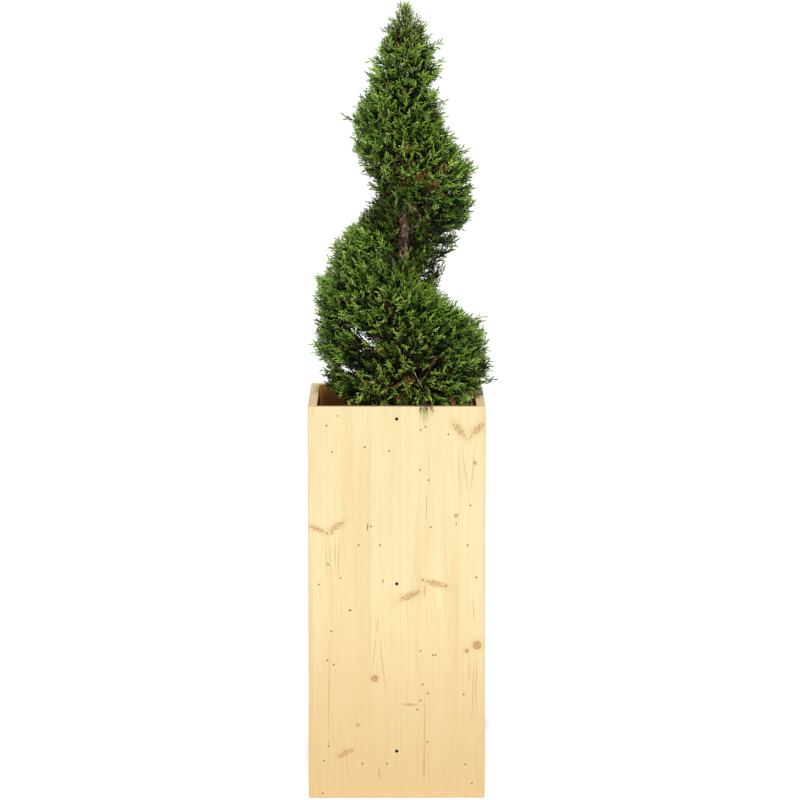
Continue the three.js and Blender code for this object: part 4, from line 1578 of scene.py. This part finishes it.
def chainObject(name, lines):
    # lines of (points, thicknesses, tint) become one mesh of edges
    points, edges, thickness, tints = [], [], [], []
    for line, thick, tint in lines:
        first = len(points)
        points += line
        thickness += thick
        tints += [tint] * len(line)
        edges += [(first + i, first + i + 1) for i in range(len(line) - 1)]
    source = newObject(name, points, (), edges)
    addValues(source.data, "thickness", "FLOAT", thickness)
    addValues(source.data, "tint", "INT", tints)
    return source


limbLook = {
    "boughSides": 14,
    "innerSides": 6,
    "branchSides": 4,
    "stalkSides": 3,
    "tipShare": 0.55,  # thickness at the end of a chain, as a part of the one before
    "stickRadius": 0.9 * mm,
    "rustyShare": 0.36,
    "greenShare": 0.22,
}


def makeLimbs():
    barkOf = {}
    # the twig bark is darkened: partly the twigs' own colour, partly painted shade inside the crown
    for name, light, middle, dark in (("bough_bark", "light", "middle", "dark"),
                                      ("twig_bark", "middle", "twig", "dark")):
        skin, color, place = barkFinish(name, bark[light], bark[middle], bark[dark], 500, 2)
        skin.set("Base Color", color)
        barkOf[name] = skin.material
    rusty = Finish("rusty_twig", Base_Color=bark["rusty"], Roughness=0.7, Specular_IOR_Level=0.3).material
    green = Finish("green_twig", Base_Color=bark["green"], Roughness=0.6, Specular_IOR_Level=0.3).material
    sprout = limbSprout()

    def growPiece(lines, name, sides, relief, skin, replaced=()):
        source = chainObject(name + "_lines", lines)
        piece = sprout.grow(source, name, Sides=sides, Relief=relief, **{"Relief Size": 160.0},
                            Bark=barkOf[skin], Rusty=rusty, Green=green)
        drop(source)
        finishPiece(piece, replaced)
        print(f"{name}: {sum(len(p.vertices) - 2 for p in piece.data.polygons)} triangles")

    # the boughs and twigs that show
    for name, line in boughLines.items():
        points, radii = [], []
        for (start, first), (end, last) in zip(line[:-1], line[1:]):
            for t in (0, 0.25, 0.5, 0.75):
                points.append(start.lerp(end, t))
                radii.append(first + (last - first) * t)
        points.append(line[-1][0])
        radii.append(line[-1][1])
        growPiece([(points, radii, 0)], name + "_bark", limbLook["boughSides"], 0.5, "bough_bark", [name])
    lines = [(line, [radius * (1 - 0.5 * i / len(line)) for i in range(len(line))], 0)
             for line, radius in twigLines]
    growPiece(lines, "pale_twigs", 8, 0.5, "bough_bark")

    # the grown ones
    dice = random.Random(limbRules["seed"])
    weights = limbs.weigh()
    lines = {"leader": [], "branch": [], "stalk": [], "stick": []}
    for chain in limbs.chains:
        kind = chain["kind"]
        if kind not in lines:
            continue
        carried = [max(1.0, weights[i]) for i in chain["points"]]
        thick = [limbRules["twigRadius"] * weight ** limbRules["forkPower"] for weight in carried]
        thick = [thick[0] * 1.1] + thick
        thick[-1] *= limbLook["tipShare"]
        draw = dice.random()
        tint = 0
        if kind == "stick":
            tint = 1
            thick = [limbLook["stickRadius"] * share for share in (0.9, 1.0, 0.8, 0.6)]
        if kind == "stalk":
            tint = 1 if draw < limbLook["rustyShare"] else 2 if draw > 1 - limbLook["greenShare"] else 0
        points = [limbs.points[i] for i in [chain["parent"]] + chain["points"]]
        lines[kind].append((points, thick, tint))
    lines["stalk"] += lines.pop("stick")
    for kind, name, sides, relief in (("leader", "inner_boughs", limbLook["innerSides"], 0.5),
                                      ("branch", "old_twigs", limbLook["branchSides"], 0.3),
                                      ("stalk", "young_twigs", limbLook["stalkSides"], 0.0)):
        growPiece(lines[kind], name, sides, relief, "twig_bark")


makeLimbs()


# Sprays of scale leaves: a few shapes, dealt out along the twigs

leaf = {
    "seed": 3,
    "shapes": 9,
    "innerShapes": 3,
    "length": 50 * mm,
    "side": 0.48,  # a side shoot, as a part of the spray
    "angle": 30,
    "angleSpread": 8,
    "bow": 0.22,
    "nod": 0.12,
    "pairs": 9,  # side shoots
    "innerPairs": 7,
    "forkBelow": 0.66,
    "thickness": 1.46 * mm,
    "widest": 0.55,
    "roughness": 0.5,
    "sheen": 0.28,
    "middleTone": 3.5,  # a step on the greens below, as the next five are
    # painted light: the top of the crown is lighter
    "topLight": 0.35,  # how much lighter the top is
    # painted shade: sprays deeper inside are darker
    "depthShade": 12,  # how much darker a spray is for each metre inside
    # painted shade on sprigs and on sprays at the outline's left and right, which stand in silhouette
    "sprigShade": 0.8,
    "sideShade": 1.8,  # how much darker the sprays on the outline's left and right are
    # inner sprays are darker: partly older growth, partly painted shade
    "innerShade": 1.9,
    # darkest first, each with the color of its fresh tips; the darkest mostly serve as painted shade deep in
    # the crown
    "greens": [
        ((6, 9, 3), (22, 33, 9)), ((9, 15, 4), (46, 67, 20)), ((14, 23, 6), (92, 122, 36)),
        ((21, 36, 10), (130, 167, 57)), ((30, 50, 14), (158, 192, 76)), ((44, 70, 20), (184, 212, 102)),
    ],
    "dry": ((112, 54, 26), (176, 100, 54)),
    "dryShare": 0.012,
    "footReach": 80 * mm,
    # painted light: sprays just over the rim are lighter
    "footLight": 0.6,
    "footDry": 3,
}


def addShoot(mesh, start, end, thick, base, tip, roll):
    # one scaly shoot: three sides, pointed at both ends, each end old (0) or fresh (1)
    along = end - start
    length = along.length
    along.normalize()
    aside = along.orthogonal().normalized()
    aside.rotate(Quaternion(along, roll))
    other = along.cross(aside)
    first = len(mesh["points"])
    mesh["points"] += [start, end]
    for i in range(3):
        angle = i * 2 * math.pi / 3
        mesh["points"].append(start + along * (length * leaf["widest"]) +
                              (aside * math.cos(angle) + other * math.sin(angle)) * thick)
    for i in range(3):
        a, b = first + 2 + i, first + 2 + (i + 1) % 3
        mesh["faces"] += [(first, b, a), (first + 1, a, b)]
        mesh["fresh"] += [base, tip]


def sprayShape(number, full):
    # a flat, feathery spray along +Z, its side shoots bearing smaller ones
    dice = random.Random(leaf["seed"] * 100 + number)
    mesh = {"points": [], "faces": [], "fresh": []}
    length = leaf["length"]
    thick = leaf["thickness"]
    bow, nod = (dice.uniform(-leaf[way], leaf[way]) for way in ("bow", "nod"))

    def axis(t):
        return Vector((bow * t * t, nod * t * t, t)) * length

    for t0, t1, base, tip in ((0.05, 0.45, 0, 0), (0.34, 0.76, 0, 1), (0.64, 1.0, 1, 1)):
        addShoot(mesh, axis(t0), axis(t1), thick, base, tip, 0.4)
    pairs = leaf["pairs"] if full else leaf["innerPairs"]
    for i in range(pairs):
        t = 0.12 + 0.74 * i / (pairs - 1) + dice.uniform(-0.02, 0.02)
        side = 1 if i % 2 else -1
        along = (axis(t + 0.02) - axis(t)).normalized()
        angle = math.radians(leaf["angle"] + dice.uniform(-leaf["angleSpread"], leaf["angleSpread"]))
        lean = Vector((side, dice.uniform(-0.6, 0.6), 0)).normalized()
        heading = (along * math.cos(angle) + lean * math.sin(angle)).normalized()
        span = length * leaf["side"] * (1 - 0.5 * t) * dice.uniform(0.82, 1.15)
        end = axis(t) + heading * span
        addShoot(mesh, axis(t), end, thick, int(t > 0.6), int(t > 0.3), dice.uniform(0, 2))
        if t < leaf["forkBelow"]:
            fork = axis(t) + heading * span * dice.uniform(0.3, 0.5)
            turn = side * dice.choice((-1, 1, 1))
            small = (heading + Vector((turn * 0.5, dice.uniform(-0.4, 0.4), 0.1))).normalized()
            end = fork + small * span * dice.uniform(0.5, 0.66)
            addShoot(mesh, fork, end, thick * 0.9, 0, 1, dice.uniform(0, 2))
    shape = newObject(f"spray_{number:02d}", mesh["points"], mesh["faces"])
    addValues(shape.data, "fresh", "INT", mesh["fresh"], "FACE")
    return shape


def leafFinishes():
    # plain greens, each with a fresher one for the tips
    finishes = []
    for number, pair in enumerate(leaf["greens"] + [leaf["dry"]]):
        for kind, color in zip(("old", "fresh"), pair):
            finishes.append(Finish(f"leaf_{kind}_{number + 1}", Base_Color=linear(*color),
                                   Roughness=leaf["roughness"], Specular_IOR_Level=leaf["sheen"]).material)
    return finishes


def spraySprout(finishes):
    # stands a spray on each point, along its heading
    sprout = Sprout("sprays", {"Shapes": "Collection", "Scale": "Float", "Flutter": "Float"})
    values = {"Collection": sprout.input("Shapes"), "Separate Children": True, "Reset Children": True}
    shapes = sprout.node("GeometryNodeCollectionInfo", None, values)
    heading = sprout.named("heading", "FLOAT_VECTOR")
    turn = sprout.node("FunctionNodeAlignRotationToVector", {"axis": "Z"}, {"Vector": heading})
    values = {"Min_001": 0.0 - sprout.input("Flutter"), "Max_001": sprout.input("Flutter"), "Seed": 4}
    flutter = sprout.node("FunctionNodeRandomValue", {"data_type": "FLOAT"}, values, "Value_001")
    for axis, angle in (((0, 0, 1), sprout.named("roll")), ((1, 0, 0), flutter)):
        by = sprout.node("FunctionNodeAxisAngleToRotation", None, {"Axis": axis, "Angle": angle})
        turn = sprout.node("FunctionNodeRotateRotation", {"rotation_space": "LOCAL"},
                           {"Rotation": turn, "Rotate By": by})
    leaves = sprout.stand({"Points": sprout.input("Geometry"), "Instance": shapes, "Pick Instance": True,
                           "Instance Index": sprout.named("shape", "INT"), "Rotation": turn,
                           "Scale": sprout.named("size") * sprout.input("Scale")})
    number = sprout.named("tone", "INT") * 2.0 + sprout.named("fresh", "INT")
    for index, finish in enumerate(finishes):
        leaves = sprout.paint(leaves, finish, sprout.equals(number, index) if index else True)
    sprout.finish(leaves)
    return sprout


def makeLeaves():
    library = bpy.data.collections.new("spray_shapes")
    bpy.context.scene.collection.children.link(library)
    count = leaf["shapes"] + leaf["innerShapes"]
    shapes = [sprayShape(number, number < leaf["shapes"]) for number in range(count)]
    for shape in shapes:
        bpy.context.scene.collection.objects.unlink(shape)
        library.objects.link(shape)
    dice = random.Random(leaf["seed"])
    tones = len(leaf["greens"])
    sprout = spraySprout(leafFinishes())
    total = 0
    for number, name in enumerate(massNames):
        own = [s for s in sprays if s["owner"] == number and s["kind"] != "lost"]
        points = newObject(name + "_points", [s["base"] for s in own])
        headings, rolls, sizes, picks, shades = [], [], [], [], []
        for s in own:
            headings.append(tuple(s["heading"]))
            rolls.append(s["roll"])
            sizes.append(s["length"] / leaf["length"])
            inner = s["kind"] == "inner"
            picks.append(dice.randrange(leaf["shapes"], count) if inner else dice.randrange(leaf["shapes"]))
            # the tone: a random spread, with painted light towards the top and at the foot, and painted shade
            # deep inside, on the outline's left and right and on sprigs
            high = (s["tip"].z - rim) / (cadBox[1][2] - rim)
            middle = leaf["middleTone"] + leaf["topLight"] * high - (leaf["innerShade"] if inner else 0)
            shade = dice.gauss(middle - s["depth"] * leaf["depthShade"], 1.0)
            aside = leaf["sideShade"] * abs(s["heading"].x) ** 2
            shade -= leaf["sprigShade"] if s["kind"] == "sprig" else aside
            foot = max(0.0, 1 - (s["tip"].z - rim) / leaf["footReach"])
            shade += leaf["footLight"] * foot
            dry = s["kind"] == "dry" or dice.random() < leaf["dryShare"] * (inner + leaf["footDry"] * foot)
            shades.append(tones if dry else int(min(tones - 1, max(0, round(shade)))))
        columns = (("heading", "FLOAT_VECTOR", headings), ("roll", "FLOAT", rolls), ("size", "FLOAT", sizes),
                   ("shape", "INT", picks), ("tone", "INT", shades))
        for title, kind, values in columns:
            addValues(points.data, title, kind, values)
        title = "leaves_" + name.removeprefix("foliage_")
        piece = sprout.grow(points, title, Shapes=library, Scale=1.0, Flutter=0.12)
        drop(points)
        finishPiece(piece, [name])
        total += len(piece.data.polygons)
        print(f"{title}: {len(own)} sprays, {len(piece.data.polygons)} triangles")
    for shape in shapes:
        drop(shape)
    bpy.data.collections.remove(library)
    print(f"{total} triangles of leaves")


makeLeaves()
